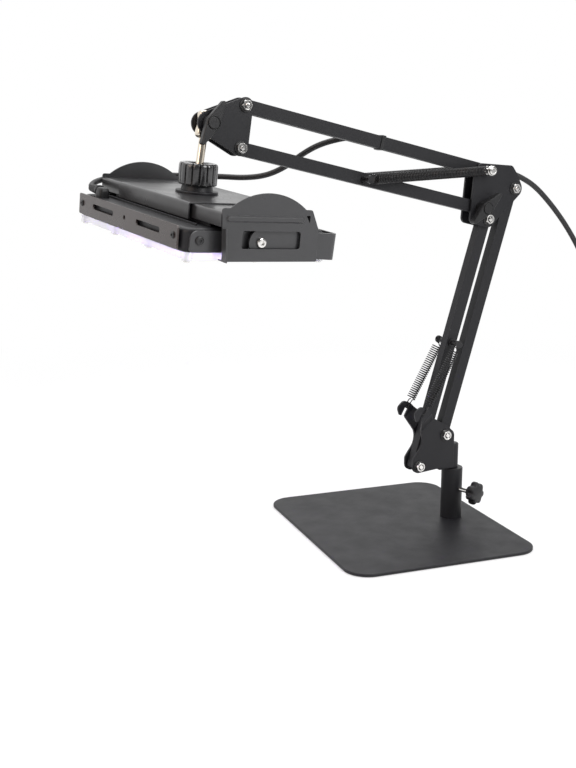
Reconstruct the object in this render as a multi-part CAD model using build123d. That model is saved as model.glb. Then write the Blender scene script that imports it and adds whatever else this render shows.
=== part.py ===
"""Exposure lamp for screen printing: a flat ultraviolet flood lamp on a spring-balanced
twin-bar arm, which stands in a socket tube on a steel foot plate.

Frame: +Z up, X in the plane of the arm (the lamp is towards -X), Y across it, origin on
the socket tube's axis at the underside of the foot. Millimetres.
"""

from build123d import *
import os
from math import atan2, cos, degrees, hypot, pi, radians, sin, tan

# ---------------------------------------------------------------- driving dimensions
# foot
PLATE_LENGTH = 254.0
PLATE_WIDTH = 304.0
PLATE_THICK = 3.5
PLATE_CORNER = 30.0
PLATE_RIGHT = 46.0  # tube axis to the plate's near end
PLATE_TURN = -6.8  # how far the arm is swung round from the plate, degrees
PAD_THICK = 1.0
PAD_INSET = 3.0
TUBE_OUTER = 14.0
TUBE_WALL = 2.0
TUBE_TOP = 72.5
PLUG_HEIGHT = 12.0

# mast
PIN_RADIUS = 7.5
PIN_BOTTOM = 20.0
CORE_TOP = 107.0
MAST_PIVOT_REAR = (-19.6, 122.2)
MAST_PIVOT_SPACING = 55.0
MAST_PIVOT_ANGLE = 223.0

# arms
LOWER_LENGTH = 330.0
LOWER_ANGLE = 73.0
UPPER_LENGTH = 343.0
UPPER_ANGLE = 167.1
UPPER_PIVOT = (32.0, 461.3)
UPPER_PIVOT_SPACING = 47.2
UPPER_PIVOT_ANGLE = 261.5
BAR_HEIGHT = 15.0
BAR_DEPTH = 12.0
BAR_WALL = 1.2
BAR_END = 8.0
PLATE_GAP = 15.0  # between a bracket's two plates
PLATE_SHEET = 3.0
BOLT_RADIUS = 3.0
FIT = 0.05  # radial clearance of a running fit

# balance springs
LOWER_SPRING_Y = 19.7
LOWER_SPRING_RADIUS = 6.2
LOWER_SPRING_PIN_AT = 166.0
HOOK_POINT = (-61.7, 156.9)
NOTCH_END = (-62.6, 155.6)
NOTCH_HALF = 2.75
HOOK_OUT = 21.2  # outer face of a mast plate's bent hook
JOGGLE = (2.0, 16.0)  # where the bend to the hook starts and ends
SPRING_LOOP = 14.0
LOOP_HALF = 3.2
UPPER_SPRING_Y = 17.6
UPPER_SPRING_RADIUS = 6.2
UPPER_SPRING_PIN_AT = 174.5
SPRING_WIRE = 1.4

# wrist and ball joint
WRIST_PIVOT = (-347.5, 518.5)
BALL_CENTRE = (-357.4, 0.0, 462.2)
BALL_RADIUS = 9.0
POST_RADIUS = 4.5
SEAT_THICK = 1.45
LAMP_ROLL = 4.6
LAMP_TILT = 3.8
LAMP_YAW = 5.0

# lamp, measured from the ball's centre
COLLAR_RADIUS = 22.0
COLLAR_TOP = 13.5
COLLAR_BOTTOM = -11.0
COVER_TOP = -20.0
COVER_X = (-55.0, 63.0)
COVER_HALF = 88.0
COVER_DROP = 17.5
SHEET = 1.5
BRIDGE_X = (-50.0, 58.0)
BRIDGE_BOTTOM = -36.0
SIDE_Y = 151.0
HOUSING_X = (-82.0, 88.0)
HOUSING_HALF = 138.0
HOUSING_TOP = -40.0
HOUSING_BOTTOM = -64.0
HOUSING_CORNER = 14.0
HOUSING_WALL = 2.0
LENS_TOP = -64.0
LENS_BOTTOM = -73.0
STRIP_X = -86.5
STRIP_HALF = 128.0
STRIP_Z = (-62.0, -38.5)
STRAP_THICK = 2.5
YOKE_PIVOT = (0.0, -52.0)
YOKE_REACH = 95.5
YOKE_SHEET = 3.0
YOKE_DROOP = 2.5  # how far the lamp's own bracket hangs from level, degrees

# supply cord
CORD_RADIUS = 3.5
TIE_SHEET = 1.2
TIE_WIDTH = 5.0
COIL_CENTRE = (222.0, -85.0)
COIL_RADIUS = 40.0

GLAND = (-70.0, 120.0, -33.0)
GLAND_BASE_Y = 100.0

# lamp's inner parts and bracket
RIB_ROWS = [-60, -44, -28, -12, 4, 20, 36, 52, 66]
BOSS_X = (-58, 64)
BOSS_Y = (-110, 0, 110)
BOARD_TOP = -51.0
EMITTER_COLUMNS = 5
EMITTER_ROWS = 10
EMITTER_PITCH_X = 28.0
EMITTER_PITCH_Y = 24.0
LENS_SKIN = -71.0
YOKE_ARM_Y = 144.0
YOKE_WIDTH = 28.0
YOKE_HOLE = 4.3
YOKE_SIDE_HOLE = 3.2

# small hardware
STANDING = (Align.CENTER, Align.CENTER, Align.MIN)
SCREW_HEAD = 5.9
SCREW_SHANK = 3.0
SCREW_SINK = 2.9
BUSH_FLANGE = 1.0
STUD_RADIUS = 3.0
STAR_HEIGHT = 45.0
STAR_WAY = (cos(radians(-72)), sin(radians(-72)), 0)
STAR_REACH = 33.0
STAR_HUB = 5.0
STAR_THICK = 10.0
STAR_LOBES = 7
WASHER_RADIUS = 6.4
WASHER_THICK = 1.2
SLEEVE_HALF = 7.4
OPEN_PIVOT_CLEARANCE = 0.3
EYE_RADIUS = 4.4
SPRING_BOLT_REACH = 24.5
SPRING_NECK = 9.5
SEAT_LEAN = 3.81  # lean of the upper seat about Y, degrees
WING_WAIST = 8.2
WING_TIP = 2.6
WING_CAP = 6.6
WING_CAP_RISE = 1.0
WING_STAND = 6.0  # how far the wings stand off the bracket, past the nearest nut
BARREL_RADIUS = 9.5
BARREL_BELOW = 17.0
BARREL_ABOVE = 13.5
CAVITY_RADIUS = BALL_RADIUS + FIT + SEAT_THICK + FIT
THREAD_RADIUS = 15.0
COLLAR_FLUTES = 16
WING_TOP = -1.2
WING_RADIUS = 71.4
STRAP_SCREW = (-67.7, -51.5)
STRIP_AXIS = -49.3
STRIP_HOLE = 2.75


# ---------------------------------------------------------------- helpers
def polar(origin, angle, distance):
    """Point at a distance from a point of the X-Z plane."""
    return (origin[0] + distance * cos(radians(angle)), origin[1] + distance * sin(radians(angle)))


def slab(face, low, high):
    """A face drawn in x and z, made solid between two values of y."""
    return Pos(0, high, 0) * extrude(Plane.XZ * face, high - low)


def across(centre, radius, low, high):
    """A round rod along Y."""
    return slab(Pos(*centre) * Circle(radius), low, high)


def outline(corners):
    """A face whose corners (x, z, radius) are rounded by arcs."""
    points = [(x, z) for x, z, _ in corners]
    return make_face(FilletPolyline(*points, radius=[r for _, _, r in corners], close=True))


def hull_of(*circles):
    """The outline that a belt round some circles (centre, radius) would have."""
    rims = ShapeList()
    for centre, radius in circles:
        rims += (Pos(*centre) * Circle(radius)).edges()
    return make_hull(rims)


def ring(centre, outer, inner, low, high):
    """A washer or sleeve along Y."""
    return across(centre, outer, low, high) - across(centre, inner, low, high)


def both_sides(piece):
    """A piece and its mirror image across the arm's plane."""
    return [piece, piece.mirror(Plane.XZ)]


def group(pieces):
    """Separate solids that share one node."""
    return Compound(children=[solid for piece in pieces for solid in Compound(piece.wrapped).solids()])


# ---------------------------------------------------------------- derived points
MAST_PIVOT_FRONT = polar(MAST_PIVOT_REAR, MAST_PIVOT_ANGLE, MAST_PIVOT_SPACING)
ELBOW_REAR = polar(MAST_PIVOT_REAR, LOWER_ANGLE, LOWER_LENGTH)
ELBOW_FRONT = polar(MAST_PIVOT_FRONT, LOWER_ANGLE, LOWER_LENGTH)
UPPER_LOW_PIVOT = polar(UPPER_PIVOT, UPPER_PIVOT_ANGLE, UPPER_PIVOT_SPACING)
WRIST_TOP = polar(UPPER_PIVOT, UPPER_ANGLE, UPPER_LENGTH)
WRIST_LOW = polar(UPPER_LOW_PIVOT, UPPER_ANGLE, UPPER_LENGTH)
LOWER_SPRING_PIN = polar(MAST_PIVOT_FRONT, LOWER_ANGLE, LOWER_SPRING_PIN_AT)
UPPER_SPRING_PIN = polar(UPPER_LOW_PIVOT, UPPER_ANGLE, UPPER_SPRING_PIN_AT)
PLATE_IN = PLATE_GAP / 2
PLATE_OUT = PLATE_IN + PLATE_SHEET
PLATE_BASE = PAD_THICK
PLATE_TOP = PAD_THICK + PLATE_THICK
LAMP = Location(BALL_CENTRE, (LAMP_ROLL, LAMP_TILT, LAMP_YAW))


# ---------------------------------------------------------------- foot
def foot_outline(inset):
    """Foot seen from above, with its long side to the left of the socket tube."""
    length = PLATE_LENGTH - 2 * inset
    middle = PLATE_RIGHT - PLATE_LENGTH / 2
    face = RectangleRounded(length, PLATE_WIDTH - 2 * inset, PLATE_CORNER - inset)
    return Rot(0, 0, PLATE_TURN) * Pos(middle, 0, 0) * face


def make_foot():
    plate = Pos(0, 0, PLATE_BASE) * extrude(foot_outline(0), PLATE_THICK)
    plate = fillet(plate.faces().sort_by(Axis.Z)[-1].edges(), 1.0)
    sink = Pos(0, 0, PLATE_BASE) * Cone(SCREW_HEAD, SCREW_SHANK, SCREW_SINK, align=STANDING)
    plate -= sink + Pos(0, 0, PLATE_BASE) * Cylinder(SCREW_SHANK + FIT, PLATE_THICK, align=STANDING)
    pad = extrude(foot_outline(PAD_INSET), PAD_THICK)
    screw = Cone(SCREW_HEAD, SCREW_SHANK, SCREW_SINK, align=STANDING)
    screw += Cylinder(SCREW_SHANK, PLATE_THICK + PLUG_HEIGHT - 2, align=STANDING)
    screw -= Pos(0, 0, -1) * extrude(RegularPolygon(2.0, 6), 3.0)
    return plate, pad, Pos(0, 0, PLATE_BASE) * screw


def make_socket():
    height = TUBE_TOP - PLATE_TOP
    inner = TUBE_OUTER - TUBE_WALL
    cross = Plane(origin=(0, 0, STAR_HEIGHT), x_dir=(0, 0, 1), z_dir=STAR_WAY)
    cross_hole = cross * Cylinder(STUD_RADIUS + FIT, 2 * TUBE_OUTER, align=STANDING)
    tube = Pos(0, 0, PLATE_TOP) * (
        Cylinder(TUBE_OUTER, height, align=STANDING) - Cylinder(inner, height, align=STANDING)
    )
    plug = Cylinder(inner, PLUG_HEIGHT, align=STANDING)
    plug -= Cylinder(SCREW_SHANK + FIT, PLUG_HEIGHT - 1, align=STANDING)
    plug = Pos(0, 0, PLATE_TOP) * plug
    bush = Pos(0, 0, PIN_BOTTOM) * Cylinder(inner, TUBE_TOP - PIN_BOTTOM, align=STANDING)
    bush += Pos(0, 0, TUBE_TOP) * Cylinder(TUBE_OUTER - 0.5, BUSH_FLANGE, align=STANDING)
    bush -= Pos(0, 0, PIN_BOTTOM) * Cylinder(PIN_RADIUS + FIT, TUBE_TOP, align=STANDING)
    return tube - cross_hole, plug, bush - cross_hole


def make_star_knob():
    """Seven-lobed clamp knob on a threaded stud that bears on the mast pin."""
    lobes = Circle(11.0) + PolarLocations(10.9, STAR_LOBES) * Circle(4.1)
    lobes -= PolarLocations(15.6, STAR_LOBES, start_angle=180 / STAR_LOBES) * Circle(3.4)
    body = extrude(lobes, STAR_THICK)
    body &= Cone(17.6, 13.6, STAR_THICK, align=STANDING) + Cylinder(15.5, STAR_THICK - 2.5, align=STANDING)
    hub = Pos(0, 0, -STAR_HUB) * Cone(7.0, 8.0, STAR_HUB, align=STANDING)
    knob = hub + body - Pos(0, 0, STAR_THICK - 1.2) * Cylinder(6.0, 2, align=STANDING)
    place = Plane(origin=(0, 0, STAR_HEIGHT), x_dir=(0, 0, 1), z_dir=STAR_WAY)
    reach = STAR_REACH - PIN_RADIUS - 0.4
    stud = Pos(0, 0, PIN_RADIUS + 0.4) * Cylinder(STUD_RADIUS, reach, align=STANDING)
    knob = Pos(0, 0, STAR_REACH) * knob
    knob -= Pos(0, 0, STAR_REACH - STAR_HUB) * Cylinder(STUD_RADIUS, STAR_HUB, align=STANDING)
    return place * knob, place * stud


# ---------------------------------------------------------------- mast bracket
def make_mast():
    pin = Pos(0, 0, PIN_BOTTOM) * Cylinder(PIN_RADIUS, CORE_TOP - PIN_BOTTOM, align=STANDING)
    pin = chamfer(pin.faces().sort_by(Axis.Z)[-1].edges(), 1.2)
    core_bottom = TUBE_TOP + BUSH_FLANGE + 0.5
    core = slab(outline([(-26, core_bottom, 1), (0, core_bottom, 0), (0, 105, 0), (-26, 105, 3)]),
                -PLATE_IN, PLATE_IN)
    corners = [
        (-5.5, core_bottom + 1.5, 3), (-5.5, 124, 9), (-18, 135, 9), (-41, 148, 14),
        (-56, 163, 5), (-66, 167.5, 7), (-76, 158.5, 7), (-72.5, 148.5, 1), (-64.5, 146.5, 2),
        (-52.5, 117, 24), (-69.6, 94, 9), (-69.4, 75, 9.4), (-30, 77.5, 6),
    ]
    notch = hull_of((NOTCH_END, NOTCH_HALF), ((-72.4, 138.2), NOTCH_HALF))
    plate = slab(outline(corners) - notch, 0, 2 * HOOK_OUT) & make_joggle()
    plate -= across(MAST_PIVOT_REAR, BOLT_RADIUS + FIT, PLATE_IN, PLATE_OUT)
    plate -= across(MAST_PIVOT_FRONT, BOLT_RADIUS + FIT, PLATE_IN, PLATE_OUT)
    return pin + core, plate


def make_joggle():
    """Sheet whose far corner is bent outwards, so that a mast plate's hook meets its spring."""
    low, high = JOGGLE
    hook_in = HOOK_OUT - PLATE_SHEET
    section = Polygon(
        (-150, PLATE_IN), (low, PLATE_IN), (high, hook_in), (60, hook_in), (60, HOOK_OUT),
        (high - 1, HOOK_OUT), (low - 1, PLATE_OUT), (-150, PLATE_OUT),
        align=None,
    )
    across_bend = Plane(origin=(-45, 0, 140), x_dir=(-0.69, 0, 0.72), z_dir=(-0.72, 0, -0.69))
    return across_bend * extrude(section, 150, both=True)


def hexagon(centre, half_width, low, high):
    """Hexagonal prism along Y."""
    return slab(Pos(*centre) * RegularPolygon(half_width, 6, major_radius=False), low, high)


def bolt(centre, half=PLATE_OUT):
    """Bolt through a bracket: its nut is on the near side, its head on the far side."""
    washer = across(centre, WASHER_RADIUS, half, half + WASHER_THICK)
    seat = half + WASHER_THICK
    head = hexagon(centre, 5.2, seat, seat + 3.4)
    nut_body = hexagon(centre, 5.0, -seat - 4.2, -seat)
    shank = across(centre, BOLT_RADIUS, -seat - 5.0, seat)
    return shank + washer + washer.mirror(Plane.XZ) + head + nut_body


# ---------------------------------------------------------------- arms
def make_bar(start, end, open_end, pin_at=None):
    """Rectangular tube whose side walls end in rounded lugs, with a flanged sleeve at each pivot.
    One sleeve is wider, because its pivot closes the four-bar linkage."""
    length = hypot(end[0] - start[0], end[1] - start[1])
    angle = degrees(atan2(end[1] - start[1], end[0] - start[0]))
    middle = ((start[0] + end[0]) / 2, (start[1] + end[1]) / 2)
    lie = Pos(*middle) * Rot(0, 0, angle)
    bar = slab(lie * SlotOverall(length + 2 * BAR_END, BAR_HEIGHT), -BAR_DEPTH / 2, BAR_DEPTH / 2)
    bore = lie * Rectangle(length + 4 * BAR_END, BAR_HEIGHT - 2 * BAR_WALL)
    bar -= slab(bore, -BAR_DEPTH / 2 + BAR_WALL, BAR_DEPTH / 2 - BAR_WALL)
    for centre in (start, end):
        bar += across(centre, 4.8, -SLEEVE_HALF, SLEEVE_HALF)
        bar += across(centre, 6.4, BAR_DEPTH / 2, SLEEVE_HALF)
        bar += across(centre, 6.4, -SLEEVE_HALF, -BAR_DEPTH / 2)
        clearance = OPEN_PIVOT_CLEARANCE if centre == open_end else FIT
        bar -= across(centre, BOLT_RADIUS + clearance, -SLEEVE_HALF, SLEEVE_HALF)
    if pin_at:
        bar -= across(pin_at, BOLT_RADIUS, -BAR_DEPTH, BAR_DEPTH)
    return bar


def make_spring_pin(centre, reach):
    """Cross pin in a bar, with a collar on each side and a cap at each end."""
    pin = across(centre, BOLT_RADIUS, -reach, reach)
    for low, high, radius in ((BAR_DEPTH / 2, BAR_DEPTH / 2 + 2, 5.0), (reach - 1.8, reach, 4.8)):
        collar = across(centre, radius, low, high)
        pin += collar + collar.mirror(Plane.XZ)
    return pin


def make_eye(spot):
    """Round eye of spring wire about a pin along Y."""
    return Plane(origin=spot, z_dir=(0, 1, 0)) * Torus(EYE_RADIUS, SPRING_WIRE / 2)


def make_loop(spot, way):
    """Long loop of spring wire that goes round a hook of sheet; it ends at the coils."""
    reach = SPRING_LOOP - SPRING_WIRE
    bend = LOOP_HALF
    lie = Plane(origin=spot, x_dir=(0, 1, 0), z_dir=Vector(0, 1, 0).cross(way) * -1)
    face = Pos(0, reach / 2) * Rot(0, 0, 90) * SlotOverall(reach, 2 * bend)
    path = (lie * face).face().outer_wire()
    section = Plane(origin=path @ 0, z_dir=path % 0) * Circle(SPRING_WIRE / 2)
    return sweep(section, path=path)


def make_spring(start, end, side, radius, hooked):
    """Extension spring: its coil body, an eye at the first pin, and an eye or a loop at the other end."""
    length = hypot(end[0] - start[0], end[1] - start[1])
    angle = atan2(end[1] - start[1], end[0] - start[0])
    way = Vector(cos(angle), 0, sin(angle))
    first = Vector(start[0], side, start[1])
    last = Vector(end[0], side, end[1])
    shift = EYE_RADIUS - BOLT_RADIUS - SPRING_WIRE / 2 - 0.1
    tail = SPRING_LOOP if hooked else SPRING_NECK
    pieces = Part() + make_eye(first + way * shift)
    stalk = SPRING_NECK - shift - EYE_RADIUS
    pieces += Plane(origin=first + way * (shift + EYE_RADIUS), z_dir=way) * Cylinder(
        SPRING_WIRE / 2, stalk, align=STANDING
    )
    body = Cylinder(radius, length - SPRING_NECK - tail, align=STANDING)
    pieces += Plane(origin=first + way * SPRING_NECK, z_dir=way) * body
    if hooked:
        return pieces + make_loop(last, way * -1)
    pieces += make_eye(last - way * shift)
    return pieces + Plane(origin=last - way * SPRING_NECK, z_dir=way) * Cylinder(
        SPRING_WIRE / 2, stalk, align=STANDING
    )


# ---------------------------------------------------------------- elbow and wrist
def make_elbow_plate():
    face = hull_of(
        (ELBOW_REAR, 11.5), (ELBOW_FRONT, 10.5), ((24.5, 464), 6.3), ((17.5, 457), 4),
        ((69, 460.5), 6.5), ((76.5, 452), 5.5), ((16, 402), 7.5),
    )
    plate = slab(face, PLATE_IN, PLATE_OUT)
    for centre in (ELBOW_REAR, ELBOW_FRONT, UPPER_PIVOT, UPPER_LOW_PIVOT):
        plate -= across(centre, BOLT_RADIUS + FIT, PLATE_IN, PLATE_OUT)
    return plate


def make_wrist_plate():
    plate = slab(hull_of((WRIST_TOP, 9), (WRIST_LOW, 9), (WRIST_PIVOT, 13)), PLATE_IN, PLATE_OUT)
    for centre in (WRIST_TOP, WRIST_LOW, WRIST_PIVOT):
        plate -= across(centre, BOLT_RADIUS + FIT, PLATE_IN, PLATE_OUT)
    return plate


def make_wing_knob(centre, angle, half_span, cap_y):
    """Wing nut moulded on a long bolt: a lozenge of two wings round a raised cap."""
    root = PLATE_OUT + 1.4
    top = cap_y - WING_CAP_RISE
    tip = half_span - WING_TIP
    middle = ((0, 0), WING_WAIST)
    face = hull_of(middle, ((tip, 0), WING_TIP)) + hull_of(middle, ((-tip, 0), WING_TIP))
    wings = slab(face, root + WING_STAND, top)
    wings = chamfer(wings.faces().sort_by(Axis.Y)[-1].edges(), 0.8)
    wings -= ring((0, 0), WING_CAP + 0.8, WING_CAP, top - 1.0, top + 1)
    wings = Location((centre[0], 0, centre[1]), (0, -angle, 0)) * wings.mirror(Plane.XZ)
    hub = across(centre, WING_WAIST, -root - WING_STAND, -root)
    cap = across(centre, WING_CAP, -cap_y, -top)
    cap = chamfer(cap.faces().sort_by(Axis.Y)[0].edges(), 0.5)
    return hub + cap + wings + across(centre, BOLT_RADIUS, -root, PLATE_OUT + 6)


def nut(centre):
    """Washer and nut on the far end of a wing knob's bolt."""
    seat = PLATE_OUT + WASHER_THICK
    stack = across(centre, WASHER_RADIUS, PLATE_OUT, seat) + hexagon(centre, 5.0, seat, seat + 4)
    return stack - across(centre, BOLT_RADIUS + FIT, PLATE_OUT, seat + 5)


def wing_washer(centre):
    """Washer between a wing knob and its bracket."""
    return ring(centre, 6.6, BOLT_RADIUS + FIT, -PLATE_OUT - WASHER_THICK, -PLATE_OUT)


# ---------------------------------------------------------------- ball joint
def make_ball_post():
    """Post with a flattened barrel at the wrist and a ball at its foot."""
    reach = hypot(WRIST_PIVOT[0] - BALL_CENTRE[0], WRIST_PIVOT[1] - BALL_CENTRE[2])
    barrel_bottom = reach - BARREL_BELOW
    post = Cylinder(POST_RADIUS, barrel_bottom, align=STANDING) + Sphere(BALL_RADIUS)
    barrel = Pos(0, 0, barrel_bottom) * Cylinder(BARREL_RADIUS, BARREL_BELOW + BARREL_ABOVE, align=STANDING)
    barrel = chamfer(barrel.edges().filter_by(GeomType.CIRCLE), 1.0)
    barrel &= Pos(0, 0, reach) * Box(60, BAR_DEPTH, 60)
    lean = degrees(atan2(WRIST_PIVOT[0] - BALL_CENTRE[0], WRIST_PIVOT[1] - BALL_CENTRE[2]))
    post = Location(BALL_CENTRE, (0, lean, 0)) * (post + barrel)
    sleeve = ring(WRIST_PIVOT, 6.6, BOLT_RADIUS + FIT, -SLEEVE_HALF, SLEEVE_HALF)
    return post - across(WRIST_PIVOT, BOLT_RADIUS + FIT, -9, 9) + sleeve


def make_seat(low_angle, high_angle):
    """Spherical nylon seat between two polar angles of the ball."""
    inner = BALL_RADIUS + FIT
    outer = inner + SEAT_THICK
    wedge = Polygon(
        (0, 0),
        (20 * sin(radians(low_angle)), 20 * cos(radians(low_angle))),
        (20 * sin(radians(high_angle)), 20 * cos(radians(high_angle))),
        align=None,
    )
    return revolve(Plane.XZ * ((Circle(outer) - Circle(inner)) & wedge), Axis.Z)


def make_collar_nut():
    """Fluted collar nut that closes the ball socket; its cone lets the post lean."""
    profile = Polygon(
        (THREAD_RADIUS + FIT, COLLAR_BOTTOM + 0.3), (COLLAR_RADIUS, COLLAR_BOTTOM + 0.3),
        (COLLAR_RADIUS, COLLAR_TOP - 3), (COLLAR_RADIUS - 3, COLLAR_TOP), (11.8, COLLAR_TOP),
        (8.3, 6.6), (8.3, 0.9), (THREAD_RADIUS + FIT, 0.9),
        align=None,
    )
    nut_body = revolve(Plane.XZ * profile, Axis.Z) - Sphere(CAVITY_RADIUS)
    flutes = Sketch() + PolarLocations(COLLAR_RADIUS + 0.9, COLLAR_FLUTES) * Circle(2.3)
    return nut_body - Pos(0, 0, COLLAR_BOTTOM) * extrude(flutes, 40)


def make_socket_base():
    """Lower half of the ball socket: disc, neck and the thread that the collar nut takes."""
    profile = Polygon(
        (0, COVER_TOP), (24, COVER_TOP), (24, COVER_TOP + 2.2), (23.2, COVER_TOP + 3), (18.3, COVER_TOP + 3),
        (17, COLLAR_BOTTOM), (THREAD_RADIUS, COLLAR_BOTTOM), (THREAD_RADIUS, 0.5), (0, 0.5),
        align=None,
    )
    base = revolve(Plane.XZ * profile, Axis.Z) - Sphere(CAVITY_RADIUS)
    return base - Pos(0, 0, COVER_TOP) * Cylinder(BOLT_RADIUS + FIT, 7.5, align=STANDING)


def make_socket_screw():
    head_top = COVER_TOP - 2 * SHEET
    screw = Pos(0, 0, head_top - 4) * extrude(RegularPolygon(5.2, 6, major_radius=False), 4)
    return screw + Pos(0, 0, head_top) * Cylinder(BOLT_RADIUS, 2 * SHEET + 7, align=STANDING)


# ---------------------------------------------------------------- lamp holder
def channel(low, high, top, bottom, half):
    """Inverted sheet channel with bent flanges, running along Y."""
    face = outline([
        (low, bottom, 0), (low, top, 2.6), (high, top, 2.6), (high, bottom, 0), (high - SHEET, bottom, 0),
        (high - SHEET, top - SHEET, 1.1), (low + SHEET, top - SHEET, 1.1), (low + SHEET, bottom, 0),
    ])
    hole = Pos(0, 0, top) * Cylinder(BOLT_RADIUS + FIT, 8)
    return slab(face, -half, half) - hole


def make_side_plate():
    """Side plate of the holder, on the +Y side: a wing on top, a bead, a window and two returns."""
    inner = SIDE_Y - SHEET
    face = outline([
        (-50, -17, 3), (57, -17, 3), (66, -36, 4), (67.5, -71, 2), (-46, -71, 2),
    ])
    wing = Pos(4.5, WING_TOP - WING_RADIUS) * Circle(WING_RADIUS)
    face += wing & (Pos(4.5, -9) * Rectangle(92, 18))
    face -= Pos(10, -48.8) * RectangleRounded(70, 18.4, 3)
    face -= Polygon((50, -23), (55, -23), (55, -31), align=None)
    plate = slab(face, inner, SIDE_Y)
    bead = slab(Pos(1.5, -27.5) * SlotOverall(93, 7), SIDE_Y, SIDE_Y + 2)
    plate += chamfer(bead.faces().sort_by(Axis.Y)[-1].edges(), 1.6)
    left_return = Polygon((-48.5, -37), (-47, -37), (-44.4, -71), (-45.9, -71), align=None)
    plate += slab(left_return, HOUSING_HALF + STRAP_THICK, inner)
    bottom_return = Polygon((-45.5, -71), (40, -71), (38, -69.5), (-45.5, -69.5), align=None)
    return plate + slab(bottom_return, HOUSING_HALF + STRAP_THICK + 0.5, inner)


def make_side_strap():
    """Flat strap along the housing's side; the holder and the yoke pivot on it."""
    face = outline([(-78, -63, 3), (-78, -41.7, 9), (12, -41.7, 9), (12, -63, 9)])
    strap = slab(face, HOUSING_HALF, HOUSING_HALF + STRAP_THICK)
    strap -= across(YOKE_PIVOT, BOLT_RADIUS + FIT, HOUSING_HALF, HOUSING_HALF + STRAP_THICK)
    return strap - across(STRAP_SCREW, 2.0, HOUSING_HALF, HOUSING_HALF + STRAP_THICK)


def make_mounting_strip():
    """Slotted strip that stands off the housing's end on two spacers."""
    low, high = STRIP_Z
    face = Pos(0, (low + high) / 2) * RectangleRounded(2 * STRIP_HALF, high - low, 2.5)
    for side in (-1, 1):
        face -= Pos(59 * side, STRIP_AXIS) * SlotOverall(58, 6)
        face -= Pos(119 * side, STRIP_AXIS) * Circle(2.0)
    face -= Pos(0, STRIP_AXIS) * Circle(STRIP_HOLE)
    return Plane(origin=(STRIP_X, 0, 0), x_dir=(0, 1, 0), z_dir=(1, 0, 0)) * extrude(face, 2.0)


def make_holder_screws():
    """Pan head screws: one through each strap, two through the mounting strip with spacers."""
    screw = across(STRAP_SCREW, 4.5, HOUSING_HALF + STRAP_THICK, HOUSING_HALF + STRAP_THICK + 2.4)
    screw = chamfer(screw.faces().sort_by(Axis.Y)[-1].edges(), 0.9)
    screw += across(STRAP_SCREW, 2.0, HOUSING_HALF - HOUSING_WALL, HOUSING_HALF + STRAP_THICK)
    pieces = both_sides(screw)
    for side in (-1, 1):
        along = Plane(origin=(STRIP_X, 119 * side, STRIP_AXIS), x_dir=(0, 1, 0), z_dir=(1, 0, 0))
        head = Pos(0, 0, -2.2) * Cylinder(4.2, 2.2, align=STANDING)
        head = chamfer(head.faces().sort_by(Axis.Z)[0].edges(), 0.8)
        gap = HOUSING_X[0] - STRIP_X
        shank = Cylinder(2.0, gap + HOUSING_WALL, align=STANDING)
        spacer = Pos(0, 0, 2.0) * Cylinder(4.0, gap - 2.0, align=STANDING)
        pieces.append(along * (head + shank + spacer))
    return group(pieces)


# ---------------------------------------------------------------- lamp body
def housing_outline(inset):
    """Plan of the lamp body, drawn in by an inset."""
    low, high = HOUSING_X
    face = RectangleRounded(
        high - low - 2 * inset, 2 * (HOUSING_HALF - inset), max(HOUSING_CORNER - inset, 2)
    )
    return Pos((low + high) / 2, 0, 0) * face


def make_housing():
    """Die-cast tray, open below, with cooling ribs and bosses for the LED board."""
    height = HOUSING_TOP - HOUSING_BOTTOM
    shell = Pos(0, 0, HOUSING_BOTTOM) * extrude(housing_outline(0), height)
    shell = fillet(shell.faces().sort_by(Axis.Z)[-1].edges(), 5.0)
    shell -= Pos(0, 0, HOUSING_BOTTOM) * extrude(housing_outline(HOUSING_WALL), height - HOUSING_WALL)
    for x in RIB_ROWS:
        rib = Pos(x, 0, HOUSING_TOP - 1) * extrude(RectangleRounded(1.8, 236, 0.85), 3.4)
        shell += rib
    for x in BOSS_X:
        for y in BOSS_Y:
            shell += Pos(x, y, BOARD_TOP) * Cylinder(3.5, HOUSING_TOP - 1 - BOARD_TOP, align=STANDING)
    for side in (-1, 1):
        shell -= across(STRAP_SCREW, 2.0, side * HOUSING_HALF - 4, side * HOUSING_HALF + 4)
        drill = Pos(HOUSING_X[0], 119 * side, STRIP_AXIS) * Rot(0, 90, 0)
        shell -= drill * Cylinder(2.0, 8)
        shell -= across(YOKE_PIVOT, BOLT_RADIUS, side * HOUSING_HALF - 4, side * HOUSING_HALF + 4)
    return shell


def make_led_board():
    low, high = HOUSING_X
    board = Pos((low + high) / 2, 0, BOARD_TOP - 1.6) * extrude(RectangleRounded(150, 250, 4), 1.6)
    return board


def make_emitters():
    """Ultraviolet emitters in rows on the underside of the board."""
    chip = Box(5.0, 5.0, 1.4, align=(Align.CENTER, Align.CENTER, Align.MAX))
    low, high = HOUSING_X
    rows = GridLocations(EMITTER_PITCH_X, EMITTER_PITCH_Y, EMITTER_COLUMNS, EMITTER_ROWS)
    chips = [Pos((low + high) / 2, 0, BOARD_TOP - 1.6) * spot * chip for spot in rows]
    return group(chips)


def make_driver():
    """Potted driver on the board's upper side."""
    box = Pos(3, 0, BOARD_TOP) * extrude(RectangleRounded(52, 84, 4), 7.5)
    return chamfer(box.faces().sort_by(Axis.Z)[-1].edges(), 1.0)


def lens_screw_spots():
    """Centres of the screws round the rim, from the corners to the middle of each side."""
    low, high = HOUSING_X[0] + 6, HOUSING_X[1] - 6
    middle = (low + high) / 2
    ends = [(x, y) for x in (low, high) for y in (-132, -44, 44, 132)]
    return ends + [(middle, -132), (middle, 132)]


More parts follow.
